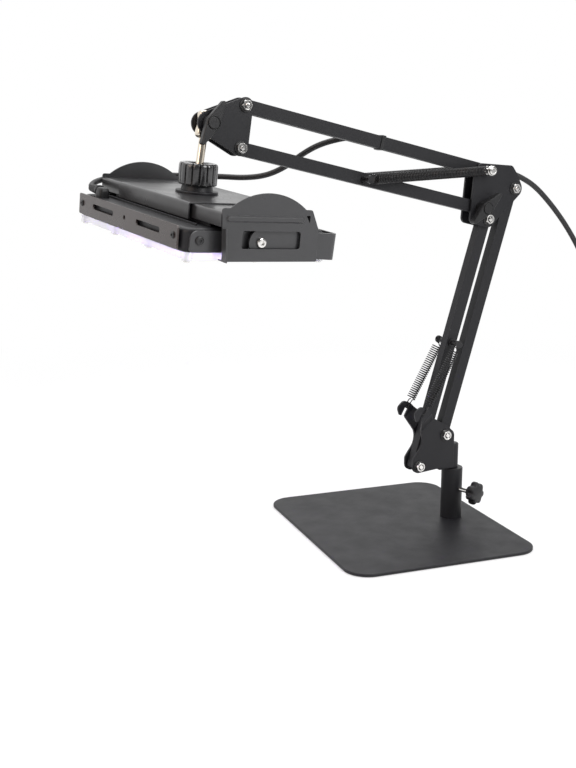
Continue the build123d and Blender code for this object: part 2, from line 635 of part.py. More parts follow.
def make_lens():
    """Moulded clear cover: a tray with a thick rim and a boss round each screw."""
    height = LENS_TOP - LENS_SKIN
    lens = Pos(0, 0, LENS_SKIN) * extrude(housing_outline(0), height)
    lens -= Pos(0, 0, LENS_SKIN + 2.5) * extrude(housing_outline(12), height)
    for x, y in lens_screw_spots():
        lens += Pos(x, y, LENS_BOTTOM) * Cylinder(5.2, LENS_TOP - LENS_BOTTOM, align=STANDING)
    for x, y in lens_screw_spots():
        lens -= Pos(x, y, LENS_BOTTOM) * Cylinder(1.9, 20, align=STANDING)
    return lens


def make_lens_screws():
    screws = []
    for x, y in lens_screw_spots():
        head = Pos(x, y, LENS_BOTTOM - 2) * Cylinder(3.6, 2, align=STANDING)
        head = chamfer(head.faces().sort_by(Axis.Z)[0].edges(), 0.7)
        shank = Pos(x, y, LENS_BOTTOM) * Cylinder(1.9, LENS_TOP - LENS_BOTTOM, align=STANDING)
        screws.append(head + shank)
    return group(screws)


def make_gland():
    """Cord gland lying on the housing, with its dome nut towards +Y."""
    base = Pos(GLAND[0], GLAND_BASE_Y, HOUSING_TOP) * extrude(RectangleRounded(15, 16, 3), 14)
    base = fillet(base.faces().sort_by(Axis.Z)[-1].edges(), 2.0)
    along = Plane(origin=(GLAND[0], GLAND_BASE_Y + 8, GLAND[2]), x_dir=(0, 0, 1), z_dir=(0, 1, 0))
    collar = extrude(RegularPolygon(5.9, 6, major_radius=False), 5)
    reach = GLAND[1] - GLAND_BASE_Y - 13
    dome = Pos(0, 0, 5) * Cone(5.9, CORD_RADIUS + 1, reach, align=STANDING)
    bore = Pos(0, 0, 2) * Cylinder(CORD_RADIUS + FIT, 60, align=STANDING)
    return base + along * (collar + dome) - along * bore


def make_yoke():
    """U-shaped bracket of the lamp, drawn level and then let down by its droop."""
    half = YOKE_ARM_Y + YOKE_SHEET
    path = [(-YOKE_WIDTH, -half), (YOKE_REACH, -half), (YOKE_REACH, half), (-YOKE_WIDTH, half)]
    inner = [
        (-YOKE_WIDTH, half - YOKE_SHEET), (YOKE_REACH - YOKE_SHEET, half - YOKE_SHEET),
        (YOKE_REACH - YOKE_SHEET, -half + YOKE_SHEET), (-YOKE_WIDTH, -half + YOKE_SHEET),
    ]
    radii = [0, 8, 8, 0, 0, 5, 5, 0]
    plan = make_face(FilletPolyline(*path, *inner, radius=radii, close=True))
    strip = Pos(0, 0, -YOKE_WIDTH / 2) * extrude(plan, YOKE_WIDTH)
    side_view = Circle(YOKE_WIDTH / 2) + Pos(YOKE_REACH / 2, 0) * Rectangle(YOKE_REACH, YOKE_WIDTH)
    strip &= slab(side_view, -half, half)
    strip -= across((0, 0), BOLT_RADIUS + FIT, -half, half)
    for y, radius in ((0, YOKE_HOLE), (-45, YOKE_SIDE_HOLE), (45, YOKE_SIDE_HOLE)):
        strip -= Pos(YOKE_REACH, y, 0) * Rot(0, 90, 0) * Cylinder(radius, 4 * YOKE_SHEET)
    return Location((YOKE_PIVOT[0], 0, YOKE_PIVOT[1]), (0, YOKE_DROOP, 0)) * strip


def make_yoke_screws():
    """Shouldered pivot screws with a black spacer between strap and yoke."""
    face_y = HOUSING_HALF + STRAP_THICK
    outer = YOKE_ARM_Y + YOKE_SHEET + 0.1
    screw = across(YOKE_PIVOT, 8.0, face_y, YOKE_ARM_Y - 0.1)
    screw += across(YOKE_PIVOT, BOLT_RADIUS, HOUSING_HALF - 4, outer)
    head = across(YOKE_PIVOT, 5.4, outer, outer + 3)
    head = chamfer(head.faces().sort_by(Axis.Y)[-1].edges(), 1.0)
    return group(both_sides(screw + head))


# ---------------------------------------------------------------- supply cord
def lamp_point(x, y, z):
    """A point given in the lamp's own frame, in the stand's frame."""
    return (LAMP * Pos(x, y, z)).position


def cord(points, name):
    """Round tube along straight runs joined by tangent arcs."""
    route = [Vector(p) for p in points]
    radii = []
    for before, here, after in zip(route, route[1:], route[2:]):
        turn = radians((here - before).get_angle(after - here))
        shorter = min((here - before).length, (after - here).length)
        radii.append(0.45 * shorter / tan(turn / 2))
    path = FilletPolyline(*route, radius=radii)
    section = Plane(origin=path @ 0, z_dir=path % 0) * Circle(CORD_RADIUS)
    tube = sweep(section, path=path)
    print(name, "length", round(path.length), "radii", [round(r) for r in radii],
          "volume share", round(tube.volume / (pi * CORD_RADIUS**2 * path.length), 4))
    return tube


HEAD_ROUTE = [
    lamp_point(-70, 120, -33), lamp_point(-70, 136.6, -33), lamp_point(-61.4, 151.4, -29.5),
    lamp_point(-46.6, 160, -25.5), lamp_point(-22, 160.5, -21), lamp_point(8, 160, -18),
    lamp_point(36, 160.3, -17), lamp_point(60, 157, -16.5), (-272.6, 131, 455),
    (-248, 115, 453.2), (-224.8, 99, 456), (-207, 80, 467), (-197, 61, 481), (-184, 42, 493),
    (-169, 26, 499.5), (-153, 14, 503), (-136, 9.9, 499.77), (-120, 9.9, 496.1),
]
ARM_ROUTE = [
    (-120, 9.9, 496.1), (-96.6, 9.9, 490.74), (-60, 12.5, 482), (-32, 21, 474.6),
    (-4, 29, 468.2), (24, 33.2, 464.5), (48, 28.2, 462), (70, 21.5, 459.5),
]
TAIL_ROUTE = [
    (70, 21.5, 459.5), (88.5, 15.87, 457.4), (106, 13, 450.5), (128, 12, 439), (155, 12, 416),
    (182, 12, 388), (206.7, 12, 356.3), (228, 10, 320), (244, 7, 282), (254.5, 4, 242),
    (260.5, 1, 200), (263.4, -1.5, 155), (265, -5, 112), (266, -11, 72), (266, -25, 39),
    (265.8, -45, 17.5), (265.5, -69, 10.6), (263.5, -93, 10.6),
]
PLUG_ROUTE = [
    (267.9, -99, 3.6), (258.4, -119, 3.6), (240.5, -131.5, 3.6), (221.5, -135.5, 4.2),
    (206.5, -135.8, 7.2), (192.5, -136, 10.8),
]


def make_coil():
    """The put-away turns as one ring, with the short end that runs to the plug."""
    ring_face = Pos(COIL_RADIUS, 2 * CORD_RADIUS) * RectangleRounded(4 * CORD_RADIUS, 4 * CORD_RADIUS, 3.4)
    coil = Pos(*COIL_CENTRE, 0) * revolve(Plane.XZ * ring_face, Axis.Z)
    return coil + cord(PLUG_ROUTE, "plug end")


def make_plug():
    """Moulded three-pin plug with a ribbed strain relief, lying on the floor."""
    end = Vector(PLUG_ROUTE[-1])
    way = (end - Vector(PLUG_ROUTE[-2])).normalized()
    way = Vector(way.X, way.Y, 0).normalized()
    place = Plane(origin=end, x_dir=(0, 0, 1), z_dir=way)
    relief = Cone(5.0, 7.5, 24, align=STANDING)
    for step in range(4):
        relief -= Pos(0, 0, 4 + 5 * step) * (Cylinder(9, 1.6) - Cylinder(4.8 + 0.4 * step, 1.6))
    body = Pos(0, 0, 22) * extrude(RectangleRounded(21, 26, 6), 26)
    pins = Pos(0, 0, 48) * extrude(Pos(3.5, 6.3) * Rectangle(6.3, 1.5), 17.5)
    pins += Pos(0, 0, 48) * extrude(Pos(3.5, -6.3) * Rectangle(6.3, 1.5), 17.5)
    pins += Pos(-5.5, 0, 48) * Cylinder(2.4, 20, align=STANDING)
    return place * (relief + body + pins)


def make_cord_tie():
    """Band that holds the cord against the far side of the upper bar."""
    at = Vector(ARM_ROUTE[0])
    tilt = radians(UPPER_ANGLE)
    place = Plane(origin=(at.X, 0, at.Z), x_dir=(0, 1, 0), z_dir=(cos(tilt), 0, sin(tilt)))
    drop = (Vector(WRIST_TOP[0], 0, WRIST_TOP[1]) - Vector(at.X, 0, at.Z)).dot(place.y_dir)
    around_bar = Pos(0, drop) * Rectangle(BAR_DEPTH + 2 * TIE_SHEET, BAR_HEIGHT + 2 * TIE_SHEET)
    around_cord = Pos(at.Y, 0) * Circle(CORD_RADIUS + TIE_SHEET + FIT)
    bar_face = Pos(0, drop) * Rectangle(BAR_DEPTH, BAR_HEIGHT)
    hold = Pos(at.Y, 0) * Circle(CORD_RADIUS + FIT)
    outer = make_hull(around_bar.edges() + around_cord.edges())
    inner = make_hull(bar_face.edges() + hold.edges())
    return place * extrude(outer - inner, TIE_WIDTH / 2, both=True)


def make_cord_clip():
    """Cable clip on a short pillar of the elbow's far plate, where the cord leaves the arm."""
    at = Vector(TAIL_ROUTE[0])
    way = (Vector(TAIL_ROUTE[1]) - at).normalized()
    eye = Plane(origin=at - way * 4, z_dir=way) * Cylinder(CORD_RADIUS + 1.6, 8, align=STANDING)
    post = Cylinder(4.5, at.Y - PLATE_OUT, align=STANDING)
    pillar = Pos(at.X, PLATE_OUT, at.Z - 3) * Rot(-90, 0, 0) * post
    bore = Plane(origin=at - way * 20, z_dir=way) * Cylinder(CORD_RADIUS + FIT, 40, align=STANDING)
    return eye + pillar - bore


# ---------------------------------------------------------------- assembly
def stand_parts():
    parts = {}
    parts["base_plate"], parts["base_pad"], parts["base_screw"] = make_foot()
    parts["socket_tube"], parts["tube_plug"], parts["socket_bush"] = make_socket()
    parts["star_knob"], parts["star_stud"] = make_star_knob()
    parts["mast_pin"], far_plate = make_mast()
    parts["mast_plate_near"], parts["mast_plate_far"] = far_plate.mirror(Plane.XZ), far_plate
    parts["mast_bolts"] = group([bolt(MAST_PIVOT_REAR), bolt(MAST_PIVOT_FRONT)])
    return parts


def arm_parts():
    parts = {}
    parts["lower_bar_rear"] = make_bar(MAST_PIVOT_REAR, ELBOW_REAR, None)
    parts["lower_bar_front"] = make_bar(MAST_PIVOT_FRONT, ELBOW_FRONT, ELBOW_FRONT, LOWER_SPRING_PIN)
    parts["lower_spring_pin"] = make_spring_pin(LOWER_SPRING_PIN, 24.0)
    parts["elbow_plate_far"] = make_elbow_plate()
    parts["elbow_plate_near"] = parts["elbow_plate_far"].mirror(Plane.XZ)
    parts["elbow_bolts"] = group([
        bolt(ELBOW_REAR), bolt(ELBOW_FRONT), make_spring_bolt(), nut(UPPER_LOW_PIVOT),
        wing_washer(UPPER_LOW_PIVOT),
    ])
    parts["elbow_wing_knob"] = make_wing_knob(UPPER_LOW_PIVOT, 41, 27, 27)
    parts["elbow_cord_clip"] = make_cord_clip()
    parts["upper_bar_top"] = make_bar(UPPER_PIVOT, WRIST_TOP, None)
    parts["upper_bar_bottom"] = make_bar(UPPER_LOW_PIVOT, WRIST_LOW, WRIST_LOW, UPPER_SPRING_PIN)
    parts["upper_spring_pin"] = make_spring_pin(UPPER_SPRING_PIN, 22.5)
    parts["upper_cord_tie"] = make_cord_tie()
    parts["wrist_plate_far"] = make_wrist_plate()
    parts["wrist_plate_near"] = parts["wrist_plate_far"].mirror(Plane.XZ)
    parts["wrist_bolts"] = group([
        bolt(WRIST_TOP), bolt(WRIST_LOW), nut(WRIST_PIVOT), wing_washer(WRIST_PIVOT),
    ])
    parts["wrist_wing_knob"] = make_wing_knob(WRIST_PIVOT, 59, 27, 26)
    for name, side in (("near", -1), ("far", 1)):
        parts[f"lower_spring_{name}"] = make_spring(
            LOWER_SPRING_PIN, HOOK_POINT, side * LOWER_SPRING_Y, LOWER_SPRING_RADIUS, True
        )
        parts[f"upper_spring_{name}"] = make_spring(
            UPPER_SPRING_PIN, UPPER_PIVOT, side * UPPER_SPRING_Y, UPPER_SPRING_RADIUS, False
        )
    return parts


def make_spring_bolt():
    """Long bolt at the upper pivot, which also carries the upper springs."""
    shank = across(UPPER_PIVOT, BOLT_RADIUS, -SPRING_BOLT_REACH, SPRING_BOLT_REACH)
    inner = across(UPPER_PIVOT, 5.4, PLATE_OUT, PLATE_OUT + 1.6)
    outer = across(UPPER_PIVOT, 6.4, SPRING_BOLT_REACH - 4.2, SPRING_BOLT_REACH - 3.0)
    cap = slab(Pos(*UPPER_PIVOT) * RegularPolygon(5.0, 6, major_radius=False),
               SPRING_BOLT_REACH - 3.0, SPRING_BOLT_REACH)
    side = inner + outer + cap
    return shank + side + side.mirror(Plane.XZ)


def lamp_parts():
    parts = {}
    parts["collar_nut"] = make_collar_nut()
    parts["ball_seat_lower"] = make_seat(100, 160)
    parts["socket_base"] = make_socket_base()
    parts["socket_screw"] = make_socket_screw()
    parts["top_cover"] = channel(*COVER_X, COVER_TOP, COVER_TOP - COVER_DROP, COVER_HALF)
    parts["bridge_channel"] = channel(*BRIDGE_X, COVER_TOP - SHEET, BRIDGE_BOTTOM, SIDE_Y - SHEET)
    parts["side_plate_far"] = make_side_plate()
    parts["side_plate_near"] = parts["side_plate_far"].mirror(Plane.XZ)
    parts["side_straps"] = group(both_sides(make_side_strap()))
    parts["holder_screws"] = make_holder_screws()
    parts["mounting_strip"] = make_mounting_strip()
    parts["housing"] = make_housing()
    parts["led_board"] = make_led_board()
    parts["uv_emitters"] = make_emitters()
    parts["driver_box"] = make_driver()
    parts["lens_cover"] = make_lens()
    parts["lens_screws"] = make_lens_screws()
    parts["cord_gland"] = make_gland()
    parts["lamp_yoke"] = make_yoke()
    parts["yoke_screws"] = make_yoke_screws()
    return {name: LAMP * part for name, part in parts.items()}


def ball_parts():
    upper_frame = Location(BALL_CENTRE, (0, SEAT_LEAN, 0))
    return {"ball_post": make_ball_post(), "ball_seat_upper": upper_frame * make_seat(50, 75)}


def cord_parts():
    return {
        "lead_head": cord(HEAD_ROUTE, "head lead"),
        "lead_arm": cord(ARM_ROUTE, "arm lead"),
        "lead_tail": cord(TAIL_ROUTE, "tail lead"),
        "lead_coil": make_coil(),
        "lead_plug": make_plug(),
    }


def main():
    os.makedirs("parts", exist_ok=True)
    parts = {**stand_parts(), **arm_parts(), **ball_parts(), **lamp_parts(), **cord_parts()}
    for name, part in parts.items():
        part.label = name
        export_step(part, f"parts/{name}.step")
    print(len(parts), "nodes")


main()
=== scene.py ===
"""Dresses the exposure lamp: finishes, springs, fasteners, knobs, leads and a plain studio."""

import math

import bmesh
import bpy
from mathutils import Matrix, Vector


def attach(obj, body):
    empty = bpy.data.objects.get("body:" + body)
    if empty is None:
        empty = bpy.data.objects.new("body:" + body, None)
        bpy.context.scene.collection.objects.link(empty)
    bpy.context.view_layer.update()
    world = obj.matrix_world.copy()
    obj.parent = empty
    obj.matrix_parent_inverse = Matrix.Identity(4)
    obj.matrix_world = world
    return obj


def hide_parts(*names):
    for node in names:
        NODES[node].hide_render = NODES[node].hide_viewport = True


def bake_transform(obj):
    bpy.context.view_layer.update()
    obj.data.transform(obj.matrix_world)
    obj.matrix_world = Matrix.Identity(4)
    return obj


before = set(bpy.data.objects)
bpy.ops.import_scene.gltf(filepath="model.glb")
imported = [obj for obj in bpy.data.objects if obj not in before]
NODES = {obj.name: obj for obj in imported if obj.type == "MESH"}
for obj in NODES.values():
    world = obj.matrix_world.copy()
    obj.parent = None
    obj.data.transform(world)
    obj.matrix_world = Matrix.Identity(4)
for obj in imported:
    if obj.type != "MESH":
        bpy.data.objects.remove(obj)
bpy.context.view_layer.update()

bl_info = {
    "name": "Exposure Lamp",
    "version": (1, 0, 0),
    "blender": (4, 5, 0),
    "location": "View3D > Sidebar > Exposure Lamp",
    "description": "Finishes, springs, fasteners, knobs and leads of a flood lamp on a balanced arm",
    "category": "Object",
}

# ------------------------------------------------------------------ places, in metres
X, Y, Z = Vector((1, 0, 0)), Vector((0, 1, 0)), Vector((0, 0, 1))
BALL_CENTRE = Vector((-0.3574, 0, 0.4622))
# frame of the tilted lamp, about the ball's centre
LAMP = (
    Matrix.Translation(BALL_CENTRE)
    @ Matrix.Rotation(math.radians(4.6), 4, "X")
    @ Matrix.Rotation(math.radians(3.8), 4, "Y")
    @ Matrix.Rotation(math.radians(5.0), 4, "Z")
)


def polar(origin, angle, distance):
    """Point of the arm's plane at a distance from another."""
    turn = math.radians(angle)
    return Vector((origin.x + distance * math.cos(turn), 0, origin.z + distance * math.sin(turn)))


LOWER_LEAN, LOWER_REACH = 73, 0.330
UPPER_LEAN, UPPER_REACH = 167.1, 0.343
MAST_REAR = Vector((-0.0196, 0, 0.1222))
MAST_FRONT = polar(MAST_REAR, 223, 0.055)
ELBOW_REAR = polar(MAST_REAR, LOWER_LEAN, LOWER_REACH)
ELBOW_FRONT = polar(MAST_FRONT, LOWER_LEAN, LOWER_REACH)
UPPER_PIVOT = Vector((0.032, 0, 0.4613))
UPPER_LOW = polar(UPPER_PIVOT, 261.5, 0.0472)
WRIST_TOP = polar(UPPER_PIVOT, UPPER_LEAN, UPPER_REACH)
WRIST_LOW = polar(UPPER_LOW, UPPER_LEAN, UPPER_REACH)
WRIST_PIVOT = Vector((-0.3475, 0, 0.5185))
LOWER_SPRING_PIN = polar(MAST_FRONT, LOWER_LEAN, 0.166)
UPPER_SPRING_PIN = polar(UPPER_LOW, UPPER_LEAN, 0.1745)
SPRING_HOOK = Vector((-0.0617, 0, 0.1569))
PLATE_OUT = 0.0105  # outer faces of the brackets' plates, from the arm's middle plane

# the supply cord's line, from the lamp to the plug
HEAD_ROUTE_ON_LAMP = [
    (-0.070, 0.120, -0.033), (-0.070, 0.1366, -0.033), (-0.0614, 0.1514, -0.0295),
    (-0.0466, 0.160, -0.0255), (-0.022, 0.1605, -0.021), (0.008, 0.160, -0.018),
    (0.036, 0.1603, -0.017), (0.060, 0.157, -0.0165),
]
HEAD_ROUTE = [
    (-0.2726, 0.131, 0.455), (-0.248, 0.115, 0.4532), (-0.2248, 0.099, 0.456),
    (-0.207, 0.080, 0.467), (-0.197, 0.061, 0.481), (-0.184, 0.042, 0.493),
    (-0.169, 0.026, 0.4995), (-0.153, 0.014, 0.503), (-0.136, 0.0099, 0.49977),
    (-0.120, 0.0099, 0.4961),
]
ARM_ROUTE = [
    (-0.120, 0.0099, 0.4961), (-0.0966, 0.0099, 0.49074), (-0.060, 0.0125, 0.482),
    (-0.032, 0.021, 0.4746), (-0.004, 0.029, 0.4682), (0.024, 0.0332, 0.4645),
    (0.048, 0.0282, 0.462), (0.070, 0.0215, 0.4595),
]
TAIL_ROUTE = [
    (0.070, 0.0215, 0.4595), (0.0885, 0.01587, 0.4574), (0.106, 0.013, 0.4505), (0.128, 0.012, 0.439),
    (0.155, 0.012, 0.416), (0.182, 0.012, 0.388), (0.2067, 0.012, 0.3563), (0.228, 0.010, 0.320),
    (0.244, 0.007, 0.282), (0.2545, 0.004, 0.242), (0.2605, 0.001, 0.200), (0.2634, -0.0015, 0.155),
    (0.265, -0.005, 0.112), (0.266, -0.011, 0.072), (0.266, -0.025, 0.039),
    (0.2658, -0.045, 0.0175), (0.2655, -0.069, 0.0106), (0.2635, -0.093, 0.0106),
]
PLUG_ROUTE = [
    (0.2679, -0.099, 0.0036), (0.2584, -0.119, 0.0036), (0.2405, -0.1315, 0.0036),
    (0.2215, -0.1355, 0.0042), (0.2065, -0.1358, 0.0072), (0.1925, -0.136, 0.0108),
]
COIL_CENTRE = Vector((0.222, -0.085, 0))
CORD_RADIUS = 0.0035
ANY_TURN = 1.0  # radians by which chance may turn a screw


# ------------------------------------------------------------------ settings
def colour(name, text, value):
    return bpy.props.FloatVectorProperty(
        name=name, description=text, subtype="COLOR", size=3, min=0, max=1, default=value
    )


def share(name, text, value):
    return bpy.props.FloatProperty(name=name, description=text, subtype="FACTOR", min=0, max=1, default=value)


def length(name, text, value):
    return bpy.props.FloatProperty(name=name, description=text, subtype="DISTANCE", unit="LENGTH", min=0, default=value)


def number(name, text, least, value):
    return bpy.props.IntProperty(name=name, description=text, min=least, default=value)


def power(name, text, value):
    return bpy.props.FloatProperty(name=name, description=text, unit="POWER", default=value)


class LampFinishes(bpy.types.PropertyGroup):
    powder: colour("Powder coat", "Arm, brackets and foot", (0.0125, 0.0125, 0.0145))
    sheet: colour("Holder sheet", "Painted sheet round the lamp", (0.034, 0.034, 0.036))
    # the strip's warm brown tint is a painted reflection of a wooden frame nearby, laid over its dark paint
    strip: colour("Strip", "Warm dark strip at the lamp's end", (0.040, 0.030, 0.028))
    plastic: colour("Moulded plastic", "Knobs, collar and cord fittings", (0.011, 0.011, 0.012))
    steel: colour("Bright steel", "Plated bolts, nuts and screws", (0.78, 0.77, 0.75))
    post: colour("Post", "Plated ball post", (0.80, 0.72, 0.60))
    spring: colour("Spring steel", "Blackened spring wire and dark screws", (0.085, 0.085, 0.090))
    rubber: colour("Cord", "Cord sheath", (0.014, 0.014, 0.015))
    glow: colour("Emitter glow", "Light of the emitters", (0.34, 0.12, 1.0))
    orange_peel: length("Orange peel", "Size of the powder coat's dimples", 0.0011)


class LampSprings(bpy.types.PropertyGroup):
    wire: length("Wire radius", "Radius of the spring wire", 0.00072)
    lower_radius: length("Lower coil radius", "Middle of the wire in the lower springs", 0.0055)
    upper_radius: length("Upper coil radius", "Middle of the wire in the upper springs", 0.0055)
    lower_turns: number("Lower turns", "Turns of each lower spring", 4, 27)
    upper_turns: number("Upper turns", "Turns of each upper spring", 4, 71)


class LampHardware(bpy.types.PropertyGroup):
    nut_half: length("Nut half width", "Half the width across a nut's flats", 0.0056)
    bolt_radius: length("Bolt radius", "Radius of a pivot bolt", 0.003)
    flutes: number("Flutes", "Flutes of the collar nut", 6, 16)
    lobes: number("Lobes", "Lobes of the star knob", 3, 7)
    dome: length("Emitter dome", "Radius of an emitter's lens", 0.0021)


class LampStudio(bpy.types.PropertyGroup):
    floor: colour("Floor", "Floor and backdrop", (0.96, 0.96, 0.96))
    world: share("Surrounding light", "Level of the even light from all round", 0.50)
    key: power("Key lamp", "Power of the large lamp in front", 46)
    fill: power("Fill lamp", "Power of the warm lamp on the left", 9)
    top: power("Top lamp", "Power of the lamp overhead", 26)
    lens: bpy.props.FloatProperty(name="Lens", description="Focal length", subtype="DISTANCE_CAMERA", default=52.3)


def settings(name):
    return getattr(bpy.context.scene, name)


def add_node(tree, kind, links=None, **values):
    """New node with its own values, and its inputs linked or set."""
    made = tree.nodes.new(kind)
    for key, value in values.items():
        setattr(made, key, value)
    for socket, source in (links or {}).items():
        if isinstance(source, bpy.types.NodeSocket):
            tree.links.new(source, made.inputs[socket])
        else:
            made.inputs[socket].default_value = source
    return made


# ------------------------------------------------------------------ finishes
class Finish:
    """Builds one procedural material on object coordinates."""

    def __init__(self, name, **fixed):
        self.material = bpy.data.materials.new(name)
        self.material.use_nodes = True
        self.tree = self.material.node_tree
        self.shader = self.tree.nodes["Principled BSDF"]
        self.place = self.tree.nodes.new("ShaderNodeTexCoord").outputs["Object"]
        for socket, value in fixed.items():
            self.shader.inputs[socket.replace("_", " ")].default_value = value

    def node(self, kind, links=None, **values):
        return add_node(self.tree, "ShaderNode" + kind, links, **values)

    def noise(self, size, detail=2.0, rough=0.5, stretch=None):
        """Noise whose features are about a given size in metres."""
        source = self.place
        if stretch:
            source = self.node("Mapping", {"Vector": source, "Scale": stretch}).outputs[0]
        links = {"Vector": source, "Scale": 1 / size, "Detail": detail, "Roughness": rough}
        return self.node("TexNoise", links).outputs["Fac"]

    def spread(self, source, low, high, start=0.3, stop=0.7):
        """Spreads the values between start and stop from low to high."""
        links = {"Value": source, "From Min": start, "From Max": stop, "To Min": low, "To Max": high}
        return self.node("MapRange", links).outputs["Result"]

    def shades(self, source, *stops):
        """Colour ramp through (position, colour) stops."""
        ramp = self.node("ValToRGB", {"Fac": source})
        marks = ramp.color_ramp.elements
        while len(marks) < len(stops):
            marks.new(0.5)
        for mark, (position, tone) in zip(marks, stops):
            mark.position = position
            mark.color = (*tone, 1)
        return ramp.outputs["Color"]

    def mix(self, amount, first, second):
        first, second = (t if isinstance(t, bpy.types.NodeSocket) else (*t, 1) for t in (first, second))
        return self.node("Mix", {"Factor": amount, 6: first, 7: second}, data_type="RGBA").outputs[2]

    def bump(self, height, strength, depth, edge=0.0):
        """Bump on rounded normals, so that no sheet edge looks knife sharp."""
        links = {"Height": height, "Strength": strength, "Distance": depth}
        if edge:
            links["Normal"] = self.node("Bevel", {"Radius": edge}, samples=4).outputs[0]
        self.to("Normal", self.node("Bump", links).outputs[0])

    def to(self, socket, source):
        self.tree.links.new(source, self.shader.inputs[socket])

    def rough(self, patches, low, high):
        """Roughness that wanders between two levels over patches of noise."""
        self.to("Roughness", self.spread(self.noise(*patches), low, high))

    def worn(self, body, bare, width, rubbed):
        """Body colour that gives way to a bare tone where the surface bends sharply."""
        rounded = self.node("Bevel", {"Radius": width}, samples=4).outputs[0]
        flat = self.node("NewGeometry").outputs["Normal"]
        dot = self.node("VectorMath", {0: rounded, 1: flat}, operation="DOT_PRODUCT").outputs["Value"]
        edges = self.spread(dot, 1.0, 0.0, 0.86, 0.995)
        wear = self.node("Math", {0: edges, 1: rubbed}, operation="MULTIPLY").outputs[0]
        self.to("Base Color", self.mix(wear, body, bare))


def tint(base, factor):
    return tuple(min(1.0, c * factor) for c in base)


def make_powder(name, base, peel, levels=(0.42, 0.54)):
    """Satin powder coat: fine orange peel, faint mottling, dust specks and rubbed edges."""
    edge = 0.0007
    finish = Finish(name, Specular_IOR_Level=0.30)
    mottle = finish.noise(0.090, 4, 0.55)
    body = finish.shades(mottle, (0.30, tint(base, 0.90)), (0.55, base), (0.75, tint(base, 1.12)))
    specks = finish.spread(finish.noise(peel * 0.8, 1, 0.4), 0.0, 0.7, 0.71, 0.78)
    dusty = finish.mix(specks, body, tint(base, 2.4))
    finish.worn(dusty, tint(base, 3.4), edge, finish.spread(finish.noise(0.006, 3), 0.1, 1.0))
    finish.rough((0.034, 4, 0.6), *levels)
    finish.bump(finish.noise(peel, 2, 0.45), 0.16, peel * 0.25, edge)
    return finish.material


def make_sheet(name, base, levels=(0.26, 0.38), grain=(1, 1, 1)):
    """Smooth painted sheet: long soft smudges, very fine grain and worn corners."""
    edge = 0.0006
    finish = Finish(name, Specular_IOR_Level=0.50, Coat_Weight=0.25, Coat_Roughness=0.20)
    cloud = finish.noise(0.075, 4, 0.55)
    body = finish.shades(cloud, (0.32, tint(base, 0.86)), (0.52, base), (0.74, tint(base, 1.14)))
    scuffs = finish.spread(finish.noise(0.0035, 5, 0.8, grain), 0.0, 0.6, 0.66, 0.80)
    marked = finish.mix(scuffs, body, tint(base, 1.9))
    finish.worn(marked, tint(base, 3.8), edge, finish.spread(finish.noise(0.005, 3), 0.0, 0.9))
    finish.rough((0.030, 4, 0.6), *levels)
    finish.bump(finish.noise(0.0006, 2, 0.5, grain), 0.10, 0.00006, edge)
    return finish.material


def make_patchy(name, patch, tones, haze, levels, grain, bump, **fixed):
    """Finish of patches in a few tones, a roughness that wanders with a haze, and a bumpy grain."""
    finish = Finish(name, **fixed)
    finish.to("Base Color", finish.shades(finish.noise(*patch), *tones))
    finish.rough(haze, *levels)
    finish.bump(finish.noise(*grain), *bump)
    return finish.material


def make_plated(name, base, levels=(0.07, 0.16)):
    """Bright plating with fine turning lines, faintly dulled patches and eased corners."""
    tones = [(0.25, tint(base, 0.86)), (0.55, base), (0.8, tint(base, 1.08))]
    return make_patchy(name, (0.012, 3, 0.5), tones, (0.006, 3, 0.5), levels,
                       (0.0012, 2, 0.4, (1, 6, 1)), (0.05, 0.00003, 0.0003), Metallic=1.0)


def make_spring_steel(name, base):
    """Blackened wire: a dark oxide with an oily sheen and brown tempering."""
    brown = (base[0] * 0.34, base[1] * 0.27, base[2] * 0.24)
    tones = [(0.3, tint(base, 0.18)), (0.55, tint(base, 0.25)), (0.75, brown)]
    return make_patchy(name, (0.012, 3, 0.6), tones, (0.005, 3), (0.24, 0.38),
                       (0.0004, 2), (0.10, 0.00004), Metallic=0.35, Specular_IOR_Level=0.45)


def make_black_oxide(name, base):
    """Blackened steel fasteners: slightly oily, in two dark tones."""
    tones = [(0.3, tint(base, 0.12)), (0.7, tint(base, 0.24))]
    return make_patchy(name, (0.005, 3, 0.6), tones, (0.003, 3), (0.25, 0.42),
                       (0.0005, 2), (0.10, 0.00004, 0.0003), Specular_IOR_Level=0.5)


def make_moulded(name, base, levels=(0.34, 0.48), grain=0.0007, polish=0.0):
    """Moulded plastic with a fine spark-eroded grain and, where polished, a clear coat."""
    tones = [(0.3, tint(base, 0.8)), (0.7, tint(base, 1.25))]
    return make_patchy(name, (0.016, 3), tones, (0.009, 4, 0.7), levels, (grain, 3, 0.6), (0.22, grain * 0.16, 0.0005),
                       Specular_IOR_Level=0.4 + polish, Coat_Weight=polish, Coat_Roughness=0.08)


def make_brass(name):
    """Brass of the plug's pins, with drawing lines and dull patches."""
    tones = [(0.3, (0.55, 0.40, 0.16)), (0.7, (0.80, 0.62, 0.30))]
    return make_patchy(name, (0.003, 4), tones, (0.002, 3, 0.6, (1, 1, 8)), (0.15, 0.32),
                       (0.0008, 3, 0.5, (1, 8, 1)), (0.10, 0.00004), Metallic=1.0)


def make_sheath(name, base):
    """Cord sheath: soft black rubber with faint drag marks and dust."""
    finish = Finish(name, Specular_IOR_Level=0.45)
    dust = finish.spread(finish.noise(0.008, 5, 0.7), 0.0, 0.55, 0.55, 0.8)
    finish.to("Base Color", finish.mix(dust, base, tint(base, 2.2)))
    finish.rough((0.012, 3), 0.40, 0.56)
    finish.bump(finish.noise(0.0005, 3, 0.6), 0.15, 0.00005)
    return finish.material


def make_clear(name):
    """See-through cover with faint flow waves; its violet base colour is painted glow of the emitters' light."""
    # the violet base colour is painted glow: it stands in for the emitters' light shining through the cover
    finish = Finish(name, Alpha=0.42, IOR=1.49, Base_Color=(0.66, 0.52, 1.0, 1), Specular_IOR_Level=0.6)
    finish.rough((0.02, 3), 0.03, 0.09)
    finish.bump(finish.noise(0.010, 2), 0.10, 0.0002)
    return finish.material


